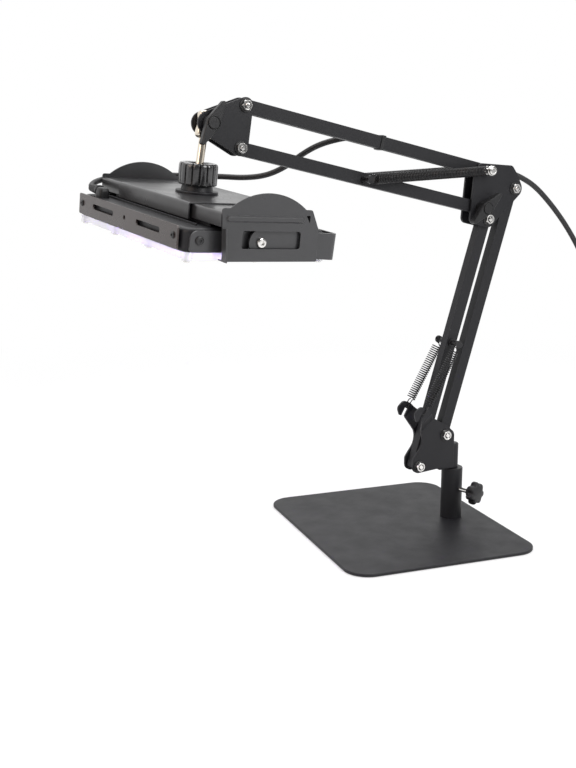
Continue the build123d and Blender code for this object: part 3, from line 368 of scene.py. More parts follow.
def make_board(name):
    """White solder mask with faint tracks and pads."""
    finish = Finish(name, Roughness=0.42, Specular_IOR_Level=0.5)
    tracks = finish.node("TexBrick", {
        "Vector": finish.place, "Scale": 36.0, "Color1": (0.80, 0.80, 0.79, 1), "Color2": (0.76, 0.77, 0.76, 1),
        "Mortar": (0.60, 0.58, 0.52, 1), "Mortar Size": 0.035, "Brick Width": 1.0, "Row Height": 0.85,
    })
    mask = finish.spread(finish.noise(0.03, 3), 0.0, 0.35)
    finish.to("Base Color", finish.mix(mask, tracks.outputs["Color"], (0.72, 0.72, 0.70)))
    finish.bump(tracks.outputs["Fac"], 0.3, 0.0001)
    return finish.material


def make_emitter(name, glow):
    """Silicone dome over a lit chip: brighter towards its middle."""
    finish = Finish(name, Roughness=0.12, Base_Color=(0.86, 0.78, 0.55, 1), Emission_Strength=150.0)
    facing = finish.node("LayerWeight", {"Blend": 0.35}).outputs["Facing"]
    finish.to("Emission Color", finish.shades(facing, (0.0, (0.75, 0.62, 1.0)), (0.45, glow), (1.0, tint(glow, 0.35))))
    return finish.material


def make_foam(name):
    """Closed-cell pad under the foot."""
    finish = Finish(name, Roughness=0.9, Specular_IOR_Level=0.2)
    cells = finish.node("TexVoronoi", {"Vector": finish.place, "Scale": 900.0}).outputs["Distance"]
    finish.to("Base Color", finish.shades(cells, (0.1, (0.010, 0.010, 0.011)), (0.7, (0.030, 0.030, 0.032))))
    finish.bump(cells, 0.5, 0.0003)
    return finish.material


def paint(mesh, name):
    """Gives a mesh one finish."""
    mesh.materials.clear()
    mesh.materials.append(bpy.data.materials[name])


FINISH_OF = {
    "powder_coat": ["base_plate", "socket_tube", "lower_bar_rear", "lower_bar_front", "upper_bar_top",
                    "upper_bar_bottom"],
    "bracket_coat": ["mast_pin", "mast_plate_near", "mast_plate_far", "elbow_plate_near", "elbow_plate_far",
                     "wrist_plate_near", "wrist_plate_far", "housing", "socket_base"],
    "holder_paint": ["top_cover", "bridge_channel", "side_plate_near", "side_plate_far", "side_straps", "lamp_yoke"],
    "strip_paint": ["mounting_strip"],
    "knob_plastic": ["star_knob", "elbow_wing_knob", "wrist_wing_knob", "collar_nut", "cord_gland", "tube_plug",
                     "socket_bush", "elbow_cord_clip", "upper_cord_tie", "driver_box", "lead_plug"],
    "seat_nylon": ["ball_seat_upper", "ball_seat_lower"],
    "bright_plate": ["base_screw", "star_stud", "mast_bolts", "elbow_bolts", "wrist_bolts", "socket_screw",
                     "holder_screws", "lens_screws", "yoke_screws"],
    "post_plate": ["ball_post"],
    "spring_black": ["lower_spring_near", "lower_spring_far", "upper_spring_near", "upper_spring_far",
                     "lower_spring_pin", "upper_spring_pin"],
    "clear_cover": ["lens_cover"],
    "board_mask": ["led_board"],
    "emitter_dome": ["uv_emitters"],
    "cord_sheath": ["lead_head", "lead_arm", "lead_tail", "lead_coil"],
    "pad_foam": ["base_pad"],
}


class LAMP_OT_finishes(bpy.types.Operator):
    """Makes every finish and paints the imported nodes"""

    bl_idname = "exposure_lamp.finishes"
    bl_label = "Finishes"

    def execute(self, context):
        tones = settings("lamp_finishes")
        powder, sheet, plastic = tuple(tones.powder), tuple(tones.sheet), tuple(tones.plastic)
        make_powder("powder_coat", powder, tones.orange_peel)
        make_powder("bracket_coat", tint(powder, 1.05), tones.orange_peel * 0.8, (0.34, 0.46))
        make_sheet("holder_paint", sheet)
        # warm strip colour: dark sheet paint with a painted reflection of wood in its tint
        make_sheet("strip_paint", tuple(tones.strip), (0.24, 0.34), (1, 0.25, 1))
        make_moulded("knob_plastic", plastic)
        make_moulded("seat_nylon", (0.62, 0.61, 0.57), (0.3, 0.4))
        make_plated("bright_plate", tuple(tones.steel))
        make_plated("post_plate", tuple(tones.post), (0.06, 0.14))
        make_black_oxide("dark_plate", tuple(tones.spring))
        make_moulded("gloss_plastic", plastic, (0.14, 0.26), 0.0016, 0.5)
        make_spring_steel("spring_black", tuple(tones.spring))
        make_clear("clear_cover")
        make_board("board_mask")
        make_emitter("emitter_dome", tuple(tones.glow))
        make_sheath("cord_sheath", tuple(tones.rubber))
        make_foam("pad_foam")
        make_brass("pin_brass")
        for name, nodes in FINISH_OF.items():
            for node in nodes:
                paint(NODES[node].data, name)
        return {"FINISHED"}


# ------------------------------------------------------------------ meshes
def placed(name, data):
    """New object in the scene."""
    made = bpy.data.objects.new(name, data)
    bpy.context.scene.collection.objects.link(made)
    return made


def plain_mesh(made):
    """An object's final shape as a plain mesh."""
    bpy.context.view_layer.update()
    return bpy.data.meshes.new_from_object(made.evaluated_get(bpy.context.evaluated_depsgraph_get()))


def piece(name, mesh, finish, body=None, instead=()):
    """Puts a finished mesh in the scene, painted, with its body and the nodes it stands in for."""
    made = placed(name, mesh)
    paint(mesh, finish)
    if body:
        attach(made, body)
    if instead:
        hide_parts(*instead)
    return made


def skin(name, rings, closed=False):
    """Mesh through rings of equally many points; the ends are filled, or joined if closed."""
    count, rows = len(rings[0]), len(rings)
    faces = []
    for row in range(rows if closed else rows - 1):
        low, high = row * count, ((row + 1) % rows) * count
        for at in range(count):
            after = (at + 1) % count
            faces.append((low + at, low + after, high + after, high + at))
    if not closed:
        faces.append(tuple(reversed(range(count))))
        faces.append(tuple(range((rows - 1) * count, rows * count)))
    mesh = bpy.data.meshes.new(name)
    mesh.from_pydata([tuple(p) for ring in rings for p in ring], [], faces)
    tidy = bmesh.new()
    tidy.from_mesh(mesh)
    bmesh.ops.remove_doubles(tidy, verts=tidy.verts, dist=1e-6)
    bmesh.ops.recalc_face_normals(tidy, faces=tidy.faces)
    tidy.to_mesh(mesh)
    tidy.free()
    mesh.shade_smooth()
    return mesh


def crease(mesh, angle=35):
    """Sharp edges where two faces meet at more than an angle."""
    mesh.set_sharp_from_angle(angle=math.radians(angle))
    return mesh


def round_ring(radius, height, count, shape=None):
    """Circle of points, its radius changed by a function of the angle."""
    ring = []
    for step in range(count):
        turn = 2 * math.pi * step / count
        reach = shape(turn, radius) if shape else radius
        ring.append(Vector((reach * math.cos(turn), reach * math.sin(turn), height)))
    return ring


def oval_ring(half_x, half_y, height, power, count):
    """Superellipse of points."""
    ring = []
    for step in range(count):
        turn = 2 * math.pi * step / count
        c, s = math.cos(turn), math.sin(turn)
        x = half_x * math.copysign(abs(c) ** (2 / power), c)
        y = half_y * math.copysign(abs(s) ** (2 / power), s)
        ring.append(Vector((x, y, height)))
    return ring


def ovals(rows, count=40):
    """Oval rings from rows of half widths, height and power."""
    return [oval_ring(*row, count) for row in rows]


def lathe(name, profile, count=40, angle=35, closed=False):
    """Turned piece through rows of radius, height and, where a ring isn't round, its shape."""
    rings = [round_ring(radius, height, count, *shape) for radius, height, *shape in profile]
    return crease(skin(name, rings, closed), angle)


def pose(origin, z_way, x_way):
    """Matrix of a frame at a point, from its z direction and about its x direction."""
    z = Vector(z_way).normalized()
    y = z.cross(Vector(x_way)).normalized()
    turn = Matrix((y.cross(z), y, z)).transposed().to_4x4()
    return Matrix.Translation(Vector(origin)) @ turn


# ------------------------------------------------------------------ node trees
class Tree:
    """Builds a geometry node tree with named inputs."""

    def __init__(self, name, **inputs):
        kinds = {
            float: "NodeSocketFloat", int: "NodeSocketInt", str: "NodeSocketMaterial",
            bpy.types.Object: "NodeSocketObject",
        }
        self.group = bpy.data.node_groups.new(name, "GeometryNodeTree")
        face = self.group.interface
        face.new_socket("Geometry", in_out="INPUT", socket_type="NodeSocketGeometry")
        face.new_socket("Geometry", in_out="OUTPUT", socket_type="NodeSocketGeometry")
        self.values = {}
        for label, value in inputs.items():
            made = face.new_socket(label, in_out="INPUT", socket_type=kinds[type(value)])
            self.values[made.identifier] = bpy.data.materials[value] if isinstance(value, str) else value
        self.start = self.group.nodes.new("NodeGroupInput").outputs

    def add(self, kind, links=None, **values):
        return add_node(self.group, kind, links, **values)

    def join(self, *parts):
        made = self.add("GeometryNodeJoinGeometry")
        for part in parts:
            self.group.links.new(part, made.inputs[0])
        return made.outputs[0]

    def finish(self, shape, smooth=True):
        shaded = self.add("GeometryNodeRealizeInstances", {"Geometry": shape}).outputs[0]
        if smooth is not None:
            shaded = self.add("GeometryNodeSetShadeSmooth", {"Geometry": shaded, "Shade Smooth": smooth}).outputs[0]
        painted = self.add("GeometryNodeSetMaterial", {"Geometry": shaded, "Material": self.start["Finish"]})
        out = self.group.nodes.new("NodeGroupOutput")
        self.group.links.new(painted.outputs[0], out.inputs[0])
        return self

    def grow(self, name, points=(), edges=()):
        """Runs the tree on some points and returns a plain mesh."""
        seed = bpy.data.meshes.new(name)
        seed.from_pydata([tuple(p) for p in points], [tuple(e) for e in edges], [])
        holder = placed(name + "_holder", seed)
        modifier = holder.modifiers.new("Shape", "NODES")
        modifier.node_group = self.group
        for identifier, value in self.values.items():
            modifier[identifier] = value
        mesh = plain_mesh(holder)
        holder.modifiers.clear()
        bpy.data.objects.remove(holder)
        mesh.name = name
        return mesh


# ------------------------------------------------------------------ repeated pieces
def hexagonal(half):
    """Outline of a hexagon whose corners are cut off at the ring's radius."""
    sixth = math.pi / 3
    return lambda turn, limit: min(limit, half / math.cos((turn + sixth / 2) % sixth - sixth / 2))


def join_meshes(name, meshes):
    """One mesh from several, which are used up."""
    whole = bmesh.new()
    for mesh in meshes:
        whole.from_mesh(mesh)
    joined = bpy.data.meshes.new(name)
    whole.to_mesh(joined)
    whole.free()
    for mesh in meshes:
        bpy.data.meshes.remove(mesh)
    return crease(joined)


def scatter(name, shape, spots, place, finish, spin=0.0, seed=1):
    """Copies of a shape at spots of a plane, each turned by chance up to an angle."""
    pattern = placed(name + "_pattern", shape)
    tree = Tree(name + "_spots", Pattern=pattern, Spin=float(spin), Seed=seed, Finish=finish)
    put = tree.start
    copied = tree.add("GeometryNodeObjectInfo", {"Object": put["Pattern"]}).outputs["Geometry"]
    chance = tree.add("FunctionNodeRandomValue", {"Seed": put["Seed"], 3: put["Spin"]}, data_type="FLOAT")
    turned = tree.add("ShaderNodeCombineXYZ", {"Z": chance.outputs[1]}).outputs[0]
    dots = tree.add("GeometryNodeMeshToPoints", {"Mesh": put["Geometry"]}).outputs[0]
    copies = tree.add("GeometryNodeInstanceOnPoints", {"Points": dots, "Instance": copied, "Rotation": turned})
    tree.finish(copies.outputs[0], smooth=None)
    mesh = tree.grow(name, spots)
    bpy.data.objects.remove(pattern)
    bpy.data.meshes.remove(shape)
    mesh.transform(place)
    return mesh


def arm_plane(y, way=-1):
    """Frame on a plane of the arm, its z towards the near side (-1) or the far side (1)."""
    return pose((0, y, 0), (0, way, 0), (-way, 0, 0))


def arm_spots(points, way=-1):
    return [(-way * p.x, p.z, 0) for p in points]


def lock_nut(half, bolt, tip):
    """Bright lock nut with the chamfered, threaded end of its bolt."""
    six, tall = hexagonal(half), 0.0042
    body = lathe("nut", [
        (1.03 * half, 0, six), (1.17 * half, 0.14 * half, six), (1.17 * half, tall - 0.16 * half, six),
        (1.0 * half, tall, six), (0.80 * half, tall), (0.76 * half, tall - 0.0005), (0.70 * half, tall - 0.0005),
    ], 48)
    pitch, groove = 0.0004, 0.00022
    screw = [(bolt - 0.0001, tall - 0.001)]
    for step in range(int(tip / pitch) - 1):
        screw.append((bolt - (groove if step % 2 else 0.0), tall + step * pitch))
    screw += [(bolt - 0.0006, tall + tip - 0.0001), (0.0008, tall + tip)]
    return join_meshes("lock_nut", [body, lathe("bolt_end", screw, 28)])


def pan_head(radius, tall, hole, deep, round_hole=False):
    """Low domed screw head with a socket of six sides or a round one."""
    shape = [] if round_hole else [hexagonal(hole)]
    return lathe("pan_head", [
        (radius * 0.96, 0), (radius, tall * 0.18), (radius, tall * 0.52), (radius * 0.90, tall * 0.82),
        (radius * 0.66, tall), (hole * 1.28, tall), (hole * 1.16, tall * 0.97, *shape),
        (hole * 1.16, tall - deep, *shape),
    ], 36)


def washer_ring(outer, inner, tall):
    """Flat washer with eased edges."""
    ease = min(0.0002, tall / 4)
    return lathe("washer", [
        (inner, 0), (outer - ease, 0), (outer, ease), (outer, tall - ease), (outer - ease, tall),
        (inner + ease, tall), (inner, tall - ease),
    ], 36, closed=True)


# ------------------------------------------------------------------ springs
def spring_tree(name, wire, radius, turns, body):
    """Coils by a spiral, and the hooks by the points that the tree is run on."""
    tree = Tree(name, Wire=wire, Radius=radius, Turns=turns, Body=body, Finish="spring_black")
    put = tree.start
    coils = tree.add("GeometryNodeCurveSpiral", {
        "Resolution": 18, "Rotations": put["Turns"], "Start Radius": put["Radius"],
        "End Radius": put["Radius"], "Height": put["Body"],
    }).outputs[0]
    hooks = tree.add("GeometryNodeMeshToCurve", {"Mesh": put["Geometry"]}).outputs[0]
    path = tree.join(coils, hooks)
    section = tree.add("GeometryNodeCurvePrimitiveCircle", {"Resolution": 8, "Radius": put["Wire"]}).outputs[0]
    tube = tree.add("GeometryNodeCurveToMesh", {"Curve": path, "Profile Curve": section, "Fill Caps": True})
    return tree.finish(tube.outputs[0])


def arc(centre, radius, start, stop, steps, first, second):
    """Points round a centre in the plane of two directions."""
    points = []
    for step in range(steps + 1):
        turn = math.radians(start + (stop - start) * step / steps)
        points.append(centre + first * radius * math.cos(turn) + second * radius * math.sin(turn))
    return points


def eye_points(radius, neck, eye):
    """Wire from the first coil to a round eye about the pin at the spring's end."""
    rise = 0.0038  # from the neck's end to the eye's inner edge
    centre = Z * (eye - rise - neck)
    lead = [X * radius, X * radius * 0.80 + Y * radius * 0.4 - Z * 0.0007, X * 0.0016 + Y * 0.0008 - Z * 0.0030]
    return lead + arc(centre, eye, 78, 400, 22, X, Z)


def loop_points(radius, neck, half):
    """Wire from the last coil to a long loop across the spring, for a hook of sheet."""
    lead = [X * radius, X * radius * 0.6 - Y * 0.0012 - Z * 0.0006, X * 0.0010 - Y * (half * 0.8) - Z * 0.0020]
    down = arc(Z * (half - neck), half, 180, 360, 14, Y, Z)
    up = [Y * half - Z * 0.0030, Y * half * 0.6 - Z * 0.0012, Y * 0.0005 - Z * 0.0006]
    return lead + down + up


def chain(*paths):
    """Points and edges of some polylines."""
    points, edges = [], []
    for path in paths:
        edges += [(len(points) + i, len(points) + i + 1) for i in range(len(path) - 1)]
        points += path
    return points, edges


def make_spring(name, start, end, side, radius, turns, hooked):
    """Spring with an eye at its start, and at its end another or a loop."""
    first, last = Vector((start.x, side, start.z)), Vector((end.x, side, end.z))
    neck, eye, loop, loop_half, overlap = 0.0095, 0.0044, 0.0140, 0.0032, 0.004
    coiled = (last - first).length - neck - (loop if hooked else neck)
    tree = spring_tree(name + "_coils", settings("lamp_springs").wire, radius, turns, coiled)
    flip = Matrix.Translation((0, 0, coiled)) @ Matrix.Rotation(math.pi, 4, "X")
    far = loop_points(radius, loop, loop_half) if hooked else eye_points(radius, neck, eye)
    mesh = tree.grow(name, *chain(eye_points(radius, neck, eye), [flip @ p for p in far]))
    way = (last - first).normalized()
    mesh.transform(pose(first + way * neck, way, way.cross(Y)))
    made = piece(name, mesh, "spring_black", instead=[name.replace("coil_", "")])
    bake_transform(made)


class LAMP_OT_springs(bpy.types.Operator):
    """Winds the four balance springs"""

    bl_idname = "exposure_lamp.springs"
    bl_label = "Balance springs"

    def execute(self, context):
        props = settings("lamp_springs")
        lower_side, upper_side = 0.0197, 0.0176
        for way, name in ((-1, "near"), (1, "far")):
            make_spring("coil_lower_spring_" + name, LOWER_SPRING_PIN, SPRING_HOOK, way * lower_side,
                        props.lower_radius, props.lower_turns, True)
            make_spring("coil_upper_spring_" + name, UPPER_SPRING_PIN, UPPER_PIVOT, way * upper_side,
                        props.upper_radius, props.upper_turns, False)
        return {"FINISHED"}


# ------------------------------------------------------------------ leads
def lead_mesh(name, points):
    """Smooth round cord as a mesh tube along a NURBS line, with the centres of its rings."""
    data = bpy.data.curves.new(name, "CURVE")
    data.dimensions = "3D"
    line = data.splines.new("NURBS")
    line.points.add(len(points) - 1)
    for knot, place in zip(line.points, points):
        knot.co = (*place, 1)
    line.order_u = 3
    line.use_endpoint_u = True
    line.use_smooth = True
    data.resolution_u = 10
    data.bevel_resolution = 5
    data.use_fill_caps = True
    holder = placed(name + "_line", data)
    bare = plain_mesh(holder)
    data.bevel_depth = CORD_RADIUS
    mesh = plain_mesh(holder)
    bpy.data.objects.remove(holder)
    path = [v.co.copy() for v in bare.vertices]
    bpy.data.meshes.remove(bare)
    mesh.name = name
    return mesh, path


def stretch(mesh, path, first, last):
    """The part of a capped mesh tube between two of its rings; the caps' own vertices come first."""
    around = len(mesh.vertices) // (len(path) + 2)

    def ring_of(vertex):
        ring = vertex.index // around - 2
        if ring >= 0:
            return ring
        return 0 if (vertex.co - path[0]).length < (vertex.co - path[-1]).length else len(path) - 1

    made = mesh.copy()
    edit = bmesh.new()
    edit.from_mesh(made)
    beyond = [v for v in edit.verts if not first <= ring_of(v) <= last]
    bmesh.ops.delete(edit, geom=beyond, context="VERTS")
    edit.to_mesh(made)
    edit.free()
    return made


def lay_lead(name, points, bends, instead):
    """Cord across several joints: one stretch for each, parted halfway between the spans of cord given for neighbouring
    bends.
    """
    mesh, path = lead_mesh(name, points)
    travelled = [0.0]
    for a, b in zip(path, path[1:]):
        travelled.append(travelled[-1] + (b - a).length)

    def ring_at(distance):
        return min(range(len(path)), key=lambda i: abs(travelled[i] - distance))

    cuts = [0] + [ring_at((a[1] + b[0]) / 2) for a, b in zip(bends, bends[1:])] + [len(path) - 1]
    for at, (start, end) in enumerate(bends):
        first, last = cuts[at:at + 2]
        final = last == len(path) - 1
        title = name if final else f"{name}_{at + 1}"
        made = piece(title, stretch(mesh, path, first, last), "cord_sheath", instead=instead)
        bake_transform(made)
    bpy.data.meshes.remove(mesh)


# reach and height of the coil's laps, from the one on top to the one outside
COIL_SLOTS = [(0.0391, 0.0099), (0.0356, 0.0036), (0.0426, 0.0036), (0.0496, 0.0036)]
COIL_START, COIL_CHANGE = -11, 289  # degrees: where the laps start, and where each leaves for the next
COIL_TURNS = range(-36, -1069, -24)  # degrees of the points round the coil's centre


def coil_points():
    """Clockwise turns on the floor: the first lies on top, the last leaves outside at the bottom."""
    points = []
    for turn in COIL_TURNS:
        lap, along = divmod(COIL_START - turn, 360)
        ease = max(0.0, (along - COIL_CHANGE) / (360 - COIL_CHANGE))
        ease = ease * ease * (3 - 2 * ease)
        (reach, height), (next_reach, next_height) = COIL_SLOTS[lap], COIL_SLOTS[lap + 1]
        reach += (next_reach - reach) * (min(1.0, 2 * ease) if lap == 0 else ease)
        height += (next_height - height) * ease**4
        at = math.radians(turn)
        points.append(COIL_CENTRE + Vector((reach * math.cos(at), reach * math.sin(at), height)))
    return points


class LAMP_OT_leads(bpy.types.Operator):
    """Lays the supply cord from the lamp along the arm to the floor"""

    bl_idname = "exposure_lamp.leads"
    bl_label = "Supply cord"

    def execute(self, context):
        head_points = [LAMP @ Vector(p) for p in HEAD_ROUTE_ON_LAMP] + HEAD_ROUTE
        lay_lead("cord_head", head_points,
                 [(0.03, 0.17), (0.175, 0.224), (0.228, 0.270), (0.275, 0.33), (0.335, 0.385)],
                 ["lead_head"])
        lay_lead("cord_arm", ARM_ROUTE, [(0.05, 0.15)], ["lead_arm"])
        lay_lead("cord_tail", TAIL_ROUTE + coil_points() + PLUG_ROUTE,
                 [(0.005, 0.055), (0.06, 0.30), (0.305, 0.54)], ["lead_tail", "lead_coil"])
        return {"FINISHED"}


# ------------------------------------------------------------------ fasteners
WASHER_TALL = 0.0012
NUT_SEAT = PLATE_OUT + WASHER_TALL
SHANK = 0.003  # radius of the bolts' shanks


def shank(spot, low, high):
    """Plain bolt shank through a bracket."""
    mesh = lathe("shank", [(SHANK, 0), (SHANK, high - low)], 24)
    mesh.transform(pose((spot.x, low, spot.z), Y, X))
    return mesh


def bolt_head(half=0.0052, tall=0.0034):
    """Hexagonal head with a washer face and a chamfered crown."""
    six = hexagonal(half)
    return lathe("bolt_head", [
        (0.98 * half, 0), (0.98 * half, 0.0003), (1.16 * half, 0.0004, six), (1.16 * half, tall - 0.16 * half, six),
        (1.0 * half, tall, six), (0.86 * half, tall), (0.80 * half, tall - 0.0002), (0.0006, tall - 0.0002),
    ], 48)


def round_cap():
    """Flat round cap of a long bolt, with a turned ring in its face."""
    radius, tall = 0.0054, 0.003
    return lathe("round_cap", [
        (radius, 0), (radius, tall * 0.72), (radius * 0.95, tall * 0.92), (radius * 0.86, tall),
        (radius * 0.62, tall), (radius * 0.58, tall * 0.94), (radius * 0.54, tall), (0.0004, tall),
    ], 40)


class LAMP_OT_fasteners(bpy.types.Operator):
    """Sets the pivot bolts, lock nuts, washers and caps of the three brackets"""

    bl_idname = "exposure_lamp.fasteners"
    bl_label = "Bracket fasteners"

    def execute(self, context):
        props = settings("lamp_hardware")
        half, bolt = props.nut_half, props.bolt_radius
        brackets = {
            "mast": ([MAST_REAR, MAST_FRONT], []),
            "elbow": ([ELBOW_REAR, ELBOW_FRONT], [UPPER_LOW]),
            "wrist": ([WRIST_TOP, WRIST_LOW], [WRIST_PIVOT]),
        }
        near, far = arm_plane(-NUT_SEAT), arm_plane(NUT_SEAT, 1)
        for body, (pivots, wing_bolts) in brackets.items():
            seed = len(body)
            nuts = [
                scatter("nuts", lock_nut(half, bolt, 0.0010), arm_spots(pivots), near, "bright_plate", ANY_TURN, seed),
                scatter("heads", bolt_head(), arm_spots(pivots, 1), far, "bright_plate", ANY_TURN, seed + 7),
            ]
            nuts += [shank(spot, -NUT_SEAT, NUT_SEAT) for spot in pivots]
            if wing_bolts:
                head = bolt_head(0.005, 0.004)
                nuts.append(scatter("wing_nuts", head, arm_spots(wing_bolts, 1), far, "bright_plate", ANY_TURN, 5))
            if body == "elbow":
                nuts += self.spring_bolt()
            piece(body + "_fasteners", join_meshes("fasteners", nuts), "bright_plate", body,
                  [body + "_bolts"])
            rings = []
            for way in (-1, 1):
                ring, spots = washer_ring(0.0078, bolt, WASHER_TALL), arm_spots(pivots + wing_bolts, way)
                rings.append(scatter("washers", ring, spots, arm_plane(way * PLATE_OUT, way), "dark_plate"))
            nylon = lathe("nylon", [(bolt - 0.0001, 0.0040), (0.0037, 0.0040), (0.0034, 0.00435), (bolt, 0.00435)], 32)
            rings.append(scatter("nylon", nylon, arm_spots(pivots), near, "dark_plate"))
            piece(body + "_washers", join_meshes("washers", rings), "dark_plate", body)
        return {"FINISHED"}

    def spring_bolt(self):
        """Long bolt that carries both upper springs, with a collar, a washer and a cap each side."""
        cap_seat = 0.0215
        made = [shank(UPPER_PIVOT, -cap_seat, cap_seat)]
        for way in (-1, 1):
            for shape, seat in (
                (washer_ring(0.0054, SHANK, 0.0016), PLATE_OUT),
                (washer_ring(0.0064, SHANK, WASHER_TALL), 0.0203),
                (round_cap(), cap_seat),
            ):
                spots = arm_spots([UPPER_PIVOT], way)
                made.append(scatter("spring_bolt", shape, spots, arm_plane(way * seat, way), "bright_plate"))
        return made


LENS_EDGES = [(x, y) for x in (-0.076, 0.082) for y in (-0.132, -0.044, 0.044, 0.132)]
LENS_SPOTS = LENS_EDGES + [(0.003, -0.132), (0.003, 0.132)]


class LAMP_OT_lamp_screws(bpy.types.Operator):
    """Sets the screws of the lamp: straps, strip, clear cover and yoke"""

    bl_idname = "exposure_lamp.lamp_screws"
    bl_label = "Lamp screws"

    def execute(self, context):
        holder_out, yoke_out = 0.1405, 0.1471
        strip_in, strip_out, strip_y, strip_z = -0.0845, -0.0865, 0.119, -0.0493
        pivot, middle = [(0, -0.052, 0)], [(0, 0, 0)]
        dark, bright = [], []
        for way in (-1, 1):
            side, outer = (LAMP @ arm_plane(way * reach, way) for reach in (holder_out, yoke_out))
            end = LAMP @ pose((strip_out, strip_y * way, strip_z), -X, Y)
            spacer = LAMP @ pose((strip_in, strip_y * way, strip_z), X, Y)
            strap = [(way * 0.0677, -0.0515, 0)]
            for heads, name, shape, spots, place, finish, spin in (
                (dark, "strap_screws", pan_head(0.0045, 0.0024, 0.0016, 0.0012), strap, side, "dark_plate", 0),
                (dark, "yoke_spacers", washer_ring(0.008, 0.003, 0.0034), pivot, side, "dark_plate", 0),
                (bright, "yoke_heads", pan_head(0.0054, 0.003, 0.0024, 0.0020), pivot, outer, "bright_plate", ANY_TURN),
                (dark, "strip_screws", pan_head(0.0036, 0.0018, 0.0013, 0.0010), middle, end, "dark_plate", ANY_TURN),
                (dark, "strip_spacers", washer_ring(0.004, 0.002, 0.0025), middle, spacer, "dark_plate", 0),
            ):
                heads.append(scatter(name, shape, spots, place, finish, spin))
        under = LAMP @ pose((0, 0, -0.073), -Z, X)
        spots = [(x, -y, 0) for x, y in LENS_SPOTS]
        head = pan_head(0.0034, 0.0019, 0.0015, 0.0012, round_hole=True)
        heads = scatter("lens_heads", head, spots, under, "bright_plate", ANY_TURN)
        stems = scatter("lens_stems", lathe("stem", [(0.0018, -0.0088), (0.0018, 0)], 16), spots, under, "bright_plate")
        for name, parts, finish, slot, instead in (
            ("holder_fasteners", dark, "dark_plate", "lamp_black", "holder_screws"),
            ("yoke_fasteners", bright, "bright_plate", "bright_steel", "yoke_screws"),
            ("cover_screws", [heads, stems], "bright_plate", "bright_steel", "lens_screws"),
        ):
            piece(name, join_meshes(name, parts), finish, "lamp", [instead])
        return {"FINISHED"}


class LAMP_OT_emitters(bpy.types.Operator):
    """Sets the rows of ultraviolet emitters under the board"""

    bl_idname = "exposure_lamp.emitters"
    bl_label = "Emitters"

    def execute(self, context):
        dome = settings("lamp_hardware").dome
        pitch_x, pitch_y, chip_tall, rise = 0.028, 0.024, 0.0009, 0.7
        under = LAMP @ pose((0.003, 0, -0.0526), -Z, X)
        spots = [(pitch_x * (i - 2), pitch_y * (j - 4.5), 0) for i in range(5) for j in range(10)]
        chip = crease(skin("chip", ovals([
            (0.0025, 0.0025, 0, 12), (0.0025, 0.0025, 0.0007, 12), (0.0023, 0.0023, chip_tall, 12),
            (dome, dome, chip_tall, 2),
        ], 16)))
        turns = [math.radians(a) for a in range(0, 90, 18)]
        cap = [(dome * math.cos(a), chip_tall + rise * dome * math.sin(a)) for a in turns]
        lens = lathe("dome", cap + [(0.0001, chip_tall + rise * dome)], 16)
        for name, shape, finish, instead in (
            ("emitter_bases", chip, "board_mask", ["uv_emitters"]), ("emitter_lenses", lens, "emitter_dome", []),
        ):
            piece(name, scatter(name, shape, spots, under, finish), finish, "lamp", instead)
        return {"FINISHED"}


# ------------------------------------------------------------------ knobs
def ribbed(count, depth, width):
    """Wide ribs parted by narrow rounded grooves."""
    def shape(turn, radius):
        near = abs(math.sin(count * turn / 2))
        cut = max(0.0, 1 - near / width)
        crown = 0.12 * depth * (1 - near * near)
        return radius - depth * (cut * cut * (3 - 2 * cut)) - crown
    return shape


def lobed(count, depth):
    """Round lobes with shallow valleys."""
    def shape(turn, radius):
        wave = 0.5 - 0.5 * math.cos(count * turn)
        return radius - depth * wave**1.3
    return shape


class LAMP_OT_knobs(bpy.types.Operator):
    """Turns the fluted collar nut and the star knob"""

    bl_idname = "exposure_lamp.knobs"
    bl_label = "Collar nut and star knob"

    def execute(self, context):
        props = settings("lamp_hardware")
        self.add_collar(props.flutes)
        self.add_star(props.lobes)
        return {"FINISHED"}

    def add_collar(self, flutes):
        rib, soft = ribbed(flutes, 0.0021, 0.42), ribbed(flutes, 0.0008, 0.42)
        mesh = lathe("collar", [
            (0.01505, -0.0107), (0.0210, -0.0107), (0.0218, -0.0101, soft), (0.0220, -0.0090, rib),
            (0.0220, -0.0020, rib), (0.0220, 0.0060, rib), (0.0220, 0.0100, rib), (0.0216, 0.0118, rib),
            (0.0207, 0.0130, rib), (0.0193, 0.0135, soft), (0.0165, 0.0135), (0.0160, 0.0130),
            (0.0126, 0.0130), (0.0120, 0.0133), (0.0116, 0.0130), (0.0083, 0.0066),
            (0.0083, 0.0009), (0.01505, 0.0009),
        ], 16 * flutes, 50, closed=True)
        mesh.transform(LAMP)
        piece("collar_ring", mesh, "gloss_plastic", "collar", ["collar_nut"])

    def add_star(self, lobes):
        full, soft = lobed(lobes, 0.0029), lobed(lobes, 0.0022)
        mesh = lathe("star", [
            (0.0030, -0.0050), (0.0066, -0.0050), (0.0070, -0.0046), (0.0080, 0),
            (0.0126, 0.0002, soft), (0.0146, 0.0010, full), (0.0154, 0.0026, full), (0.0155, 0.0050, full),
            (0.0154, 0.0074, full), (0.0146, 0.0092, full), (0.0130, 0.0102, soft), (0.0104, 0.0106),
            (0.0060, 0.0110), (0.0004, 0.0111),
        ], 16 * lobes, 50)
        facing, height, reach = math.radians(-72), 0.045, 0.033
        way = Vector((math.cos(facing), math.sin(facing), 0))
        mesh.transform(pose(Z * height + way * reach, way, Z))
        piece("star_grip", mesh, "knob_plastic", "star_clamp", ["star_knob"])


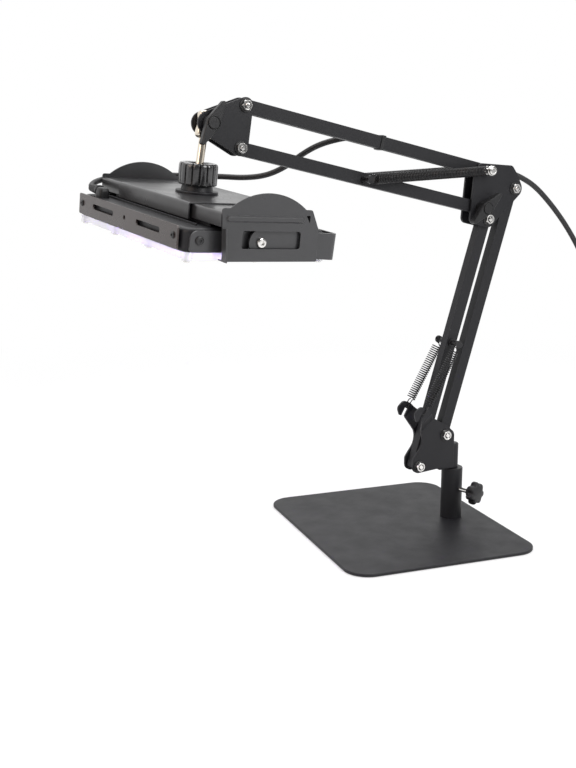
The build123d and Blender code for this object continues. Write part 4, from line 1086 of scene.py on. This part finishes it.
# ------------------------------------------------------------------ ball post
def post_rings():
    """Rings from the ball's pole up the post to its flattened head, by height above the ball's centre."""
    ball, stem, head, flat, end_flat, boxy = 0.009, 0.0045, 0.0095, 0.006, 0.0030, 4.5
    flare, crown = 0.0045, 0.0050
    reach = (WRIST_PIVOT - BALL_CENTRE).length
    low, high = reach - 0.017, reach + 0.0135
    rows = []
    for step in range(1, 19):
        turn = math.radians(-90 + 150 * step / 18)
        rows.append((ball * math.cos(turn), ball * math.cos(turn), ball * math.sin(turn), 2.0))
    rows += [(stem, stem, height, 2.0) for height in (0.0084, 0.0200, low - 0.002)]
    quarter = [math.radians(90 * step / 8) for step in range(9)]
    for turn in quarter:
        grow = math.sin(turn)
        height = low + flare * (1 - math.cos(turn))
        rows.append((stem + (head - stem) * grow, stem + (flat - stem) * grow, height, 2 + 2.5 * grow))
    for turn in quarter:
        size = math.cos(turn)
        height = high - 0.005 + crown * math.sin(turn)
        rows.append((stem + (head - stem) * size, end_flat + (flat - end_flat) * size, height, boxy))
    return ovals(rows, 48)


class LAMP_OT_post(bpy.types.Operator):
    """Turns the ball post with its flattened head"""

    bl_idname = "exposure_lamp.post"
    bl_label = "Ball post"

    def execute(self, context):
        stem = crease(skin("post", post_rings()), 50)
        stem.transform(pose(BALL_CENTRE, WRIST_PIVOT - BALL_CENTRE, X))
        sleeve = lathe("sleeve", [(0.0066, -0.0074), (0.0066, 0.0074)], 36)
        sleeve.transform(pose(WRIST_PIVOT, Y, X))
        mesh = join_meshes("post_stem", [stem, sleeve])
        piece("post_stem", mesh, "post_plate", "post", ["ball_post"])
        return {"FINISHED"}


# ------------------------------------------------------------------ cord fittings
class LAMP_OT_fittings(bpy.types.Operator):
    """Moulds the plug with its ribbed relief and the gland at the lamp"""

    bl_idname = "exposure_lamp.fittings"
    bl_label = "Plug and gland"

    def execute(self, context):
        self.add_plug()
        self.add_gland()
        return {"FINISHED"}

    def add_plug(self):
        end, before = Vector(PLUG_ROUTE[-1]), Vector(PLUG_ROUTE[-2])
        way = Vector((end.x - before.x, end.y - before.y, 0)).normalized()
        place = pose(end, way, Z)
        face, groove = 0.048, 0.0009
        rows = []
        for step in range(7):
            low, size = 0.0028 * step, 0.0046 + 0.0006 * step
            for height, shrink in ((0, groove), (0.0003, 0), (0.0017, 0), (0.0020, groove)):
                rows.append((size - shrink, size * 1.05 - shrink, low + height, 2.2))
        rows += [
            (0.0084, 0.0094, 0.0205, 2.5), (0.0098, 0.0120, 0.0235, 3.2), (0.0104, 0.0128, 0.0290, 4.0),
            (0.0100, 0.0124, 0.0370, 4.5), (0.0105, 0.0130, 0.0450, 5.0), (0.0105, 0.0130, 0.0472, 5.0),
            (0.0097, 0.0122, face, 5.0),
        ]
        mesh = crease(skin("plug", ovals(rows)), 40)
        mesh.transform(place)
        piece("plug_body", mesh, "knob_plastic", "root", ["lead_plug"])
        pins = []
        for side in (-1, 1):
            blade = crease(skin("blade", ovals([
                (0.0031, 0.00075, 0, 12), (0.0031, 0.00075, 0.0160, 12), (0.0026, 0.00035, 0.0174, 12),
            ], 24)))
            blade.transform(Matrix.Translation((0.0035, 0.0063 * side, face)))
            pins.append(blade)
        pin = lathe("pin", [(0.0024, 0), (0.0024, 0.0180), (0.0019, 0.0193), (0.0008, 0.0199)], 28)
        pin.transform(Matrix.Translation((-0.0055, 0, face)))
        mesh = join_meshes("plug_pins", pins + [pin])
        mesh.transform(place)
        piece("plug_pins", mesh, "pin_brass", "root")

    def add_gland(self):
        x, y, z = HEAD_ROUTE_ON_LAMP[0][0], 0.100, HEAD_ROUTE_ON_LAMP[0][2]
        block = crease(skin("gland_base", ovals([
            (0.0064, 0.0074, -0.0405, 5.0), (0.0064, 0.0074, -0.0335, 4.5), (0.0061, 0.0071, -0.0310, 3.8),
            (0.0053, 0.0062, -0.0292, 3.2), (0.0038, 0.0046, -0.0284, 2.8),
        ])), 50)
        block.transform(Matrix.Translation((x, y, 0)))
        six = hexagonal(0.0059)
        sleeve = [(0.0062, 0, six), (0.0062, 0.0046, six), (0.0056, 0.0050)]
        for step in range(8):
            at, size, groove = 0.0056 + 0.0026 * step, 0.0056 - 0.00018 * step, 0.0008
            sleeve += [(size, at), (size, at + 0.0014), (size - groove, at + 0.0016), (size - groove, at + 0.0024)]
        relief = lathe("relief", sleeve, 36)
        relief.transform(pose((x, y + 0.0072, z), Y, Z))
        mesh = join_meshes("gland", [block, relief])
        mesh.transform(LAMP)
        piece("gland_boot", mesh, "knob_plastic", "lamp", ["cord_gland"])


# ------------------------------------------------------------------ studio
def light(name, place, target, power, side, tone=(1, 1, 1)):
    """Square area lamp that faces a target."""
    data = bpy.data.lights.new(name, "AREA")
    data.energy = power
    data.color = tone
    data.shape = "RECTANGLE"
    data.size = data.size_y = side
    placed(name, data).matrix_world = pose(place, Vector(place) - Vector(target), Y)


def join_values(tree, operation, first, second):
    return add_node(tree, "ShaderNodeMath", {0: first, 1: second}, operation=operation).outputs[0]


def map_range(tree, source, *limits, **values):
    """Spreads the values between the first two limits over the last two."""
    return add_node(tree, "ShaderNodeMapRange", {0: source, **dict(enumerate(limits, 1))}, **values).outputs[0]


def blend_shaders(tree, amount, first, second, output):
    """Mixes two shaders into the tree's output."""
    blend = add_node(tree, "ShaderNodeMixShader", {0: amount, 1: first.outputs[0], 2: second.outputs[0]})
    tree.links.new(blend.outputs[0], tree.nodes[output].inputs[0])


def plain_rays(tree):
    """1 for rays of the camera and of glass, which see the plain white backdrop."""
    ray = tree.nodes.new("ShaderNodeLightPath").outputs
    return join_values(tree, "MAXIMUM", ray["Is Camera Ray"], ray["Is Transmission Ray"])


def seen_rays(tree, gloss=1.0):
    """The plain rays, and a share of the glossy ones."""
    ray = tree.nodes.new("ShaderNodeLightPath").outputs
    return join_values(tree, "MAXIMUM", plain_rays(tree), join_values(tree, "MULTIPLY", ray["Is Glossy Ray"], gloss))


class LAMP_OT_studio(bpy.types.Operator):
    """Sets the floor, the soft light and the camera"""

    bl_idname = "exposure_lamp.studio"
    bl_label = "Studio"

    def execute(self, context):
        props = settings("lamp_studio")
        scene = context.scene
        self.add_floor(tuple(props.floor))
        self.add_world(scene, props.world)
        light("key", (0.7, -2.1, 1.7), (-0.1, 0, 0.3), props.key, 1.5)
        light("fill", (-1.9, -0.5, 1.3), (-0.2, 0, 0.3), props.fill, 1.2, (1.0, 0.80, 0.68))
        light("top", (-0.1, 0.5, 2.2), (-0.1, 0, 0.3), props.top, 1.8)
        self.add_camera(scene, props.lens)
        scene.view_settings.view_transform = "Standard"
        return {"FINISHED"}

    def add_floor(self, tone):
        """Wide floor that pales into the backdrop, from half a metre to one and a half from its middle."""
        half = 12.0
        mesh = bpy.data.meshes.new("floor")
        mesh.from_pydata([(-half, -half, 0), (half, -half, 0), (half, half, 0), (-half, half, 0)], [], [(0, 1, 2, 3)])
        floor = placed("floor", mesh)
        paper = bpy.data.materials.new("studio_floor")
        paper.use_nodes = True
        tree = paper.node_tree
        shader = tree.nodes["Principled BSDF"]
        for socket, value in (("Base Color", (*tone, 1)), ("Roughness", 0.8), ("Specular IOR Level", 0.0)):
            shader.inputs[socket].default_value = value
        place = tree.nodes.new("ShaderNodeTexCoord").outputs["Object"]
        reach = add_node(tree, "ShaderNodeVectorMath", {0: place}, operation="LENGTH").outputs["Value"]
        paling = map_range(tree, reach, 0.5, 1.5, 0.5, 1.0, interpolation_type="SMOOTHSTEP")
        amount = join_values(tree, "MULTIPLY", seen_rays(tree, 0.6), paling)
        blend_shaders(tree, amount, shader, tree.nodes.new("ShaderNodeEmission"), "Material Output")
        mesh.materials.append(paper)

    def add_world(self, scene, level):
        """Even light from all round; reflections see it fall off in front, and the camera sees white."""
        world = bpy.data.worlds.new("studio_world")
        world.use_nodes = True
        scene.world = world
        tree = world.node_tree
        lit = tree.nodes["Background"]
        lit.inputs["Color"].default_value = (0.96, 0.97, 1.0, 1)
        lit.inputs["Strength"].default_value = level
        place = tree.nodes.new("ShaderNodeTexCoord").outputs["Generated"]
        way = add_node(tree, "ShaderNodeSeparateXYZ", {0: place}).outputs["Y"]
        fall = map_range(tree, way, -0.55, 0.05, 0.22, 1.0)
        strength = join_values(tree, "MAXIMUM", plain_rays(tree), fall)
        white = add_node(tree, "ShaderNodeBackground", {"Color": (1, 1, 1, 1), "Strength": strength})
        blend_shaders(tree, seen_rays(tree), lit, white, "World Output")

    def add_camera(self, scene, lens):
        yaw, pitch, roll = (math.radians(angle) for angle in (26.99, 12.55, 0.13))
        place = (-0.84319, -1.1740, 0.50475)
        forward = Vector((math.sin(yaw) * math.cos(pitch), math.cos(yaw) * math.cos(pitch), -math.sin(pitch)))
        right = Vector((math.cos(yaw), -math.sin(yaw), 0))
        down = forward.cross(right)
        across = right * math.cos(roll) + down * math.sin(roll)
        up = right * math.sin(roll) - down * math.cos(roll)
        data = bpy.data.cameras.new("camera")
        data.sensor_fit = "VERTICAL"
        data.sensor_height = 36
        data.lens = lens
        data.clip_start = 0.01
        camera = placed("camera", data)
        turn = Matrix((across, up, -forward)).transposed().to_4x4()
        camera.matrix_world = Matrix.Translation(place) @ turn
        scene.camera = camera


class LAMP_PT_panel(bpy.types.Panel):
    """Lists the pieces of the exposure lamp"""

    bl_idname = "LAMP_PT_panel"
    bl_label = "Exposure Lamp"
    bl_space_type = "VIEW_3D"
    bl_region_type = "UI"
    bl_category = "Exposure Lamp"

    def draw(self, context):
        for step in STEPS:
            self.layout.operator("exposure_lamp." + step)
        for name in GROUPS:
            box = self.layout.box()
            group = getattr(context.scene, name)
            for key in group.__annotations__:
                box.prop(group, key)


GROUPS = {
    "lamp_finishes": LampFinishes, "lamp_springs": LampSprings,
    "lamp_hardware": LampHardware, "lamp_studio": LampStudio,
}
STEPS = ["studio", "finishes", "springs", "fasteners", "lamp_screws", "emitters", "knobs", "post", "fittings", "leads"]
CLASSES = [
    *GROUPS.values(), LAMP_OT_studio, LAMP_OT_finishes, LAMP_OT_leads, LAMP_OT_springs, LAMP_OT_fasteners,
    LAMP_OT_lamp_screws, LAMP_OT_emitters, LAMP_OT_knobs, LAMP_OT_post, LAMP_OT_fittings, LAMP_PT_panel,
]


def register():
    for made in CLASSES:
        bpy.utils.register_class(made)
    for name, kind in GROUPS.items():
        setattr(bpy.types.Scene, name, bpy.props.PointerProperty(type=kind))


def unregister():
    for name in GROUPS:
        delattr(bpy.types.Scene, name)
    for made in reversed(CLASSES):
        bpy.utils.unregister_class(made)


def main():
    register()
    for step in STEPS:
        getattr(bpy.ops.exposure_lamp, step)()


if __name__ == "__main__":
    main()
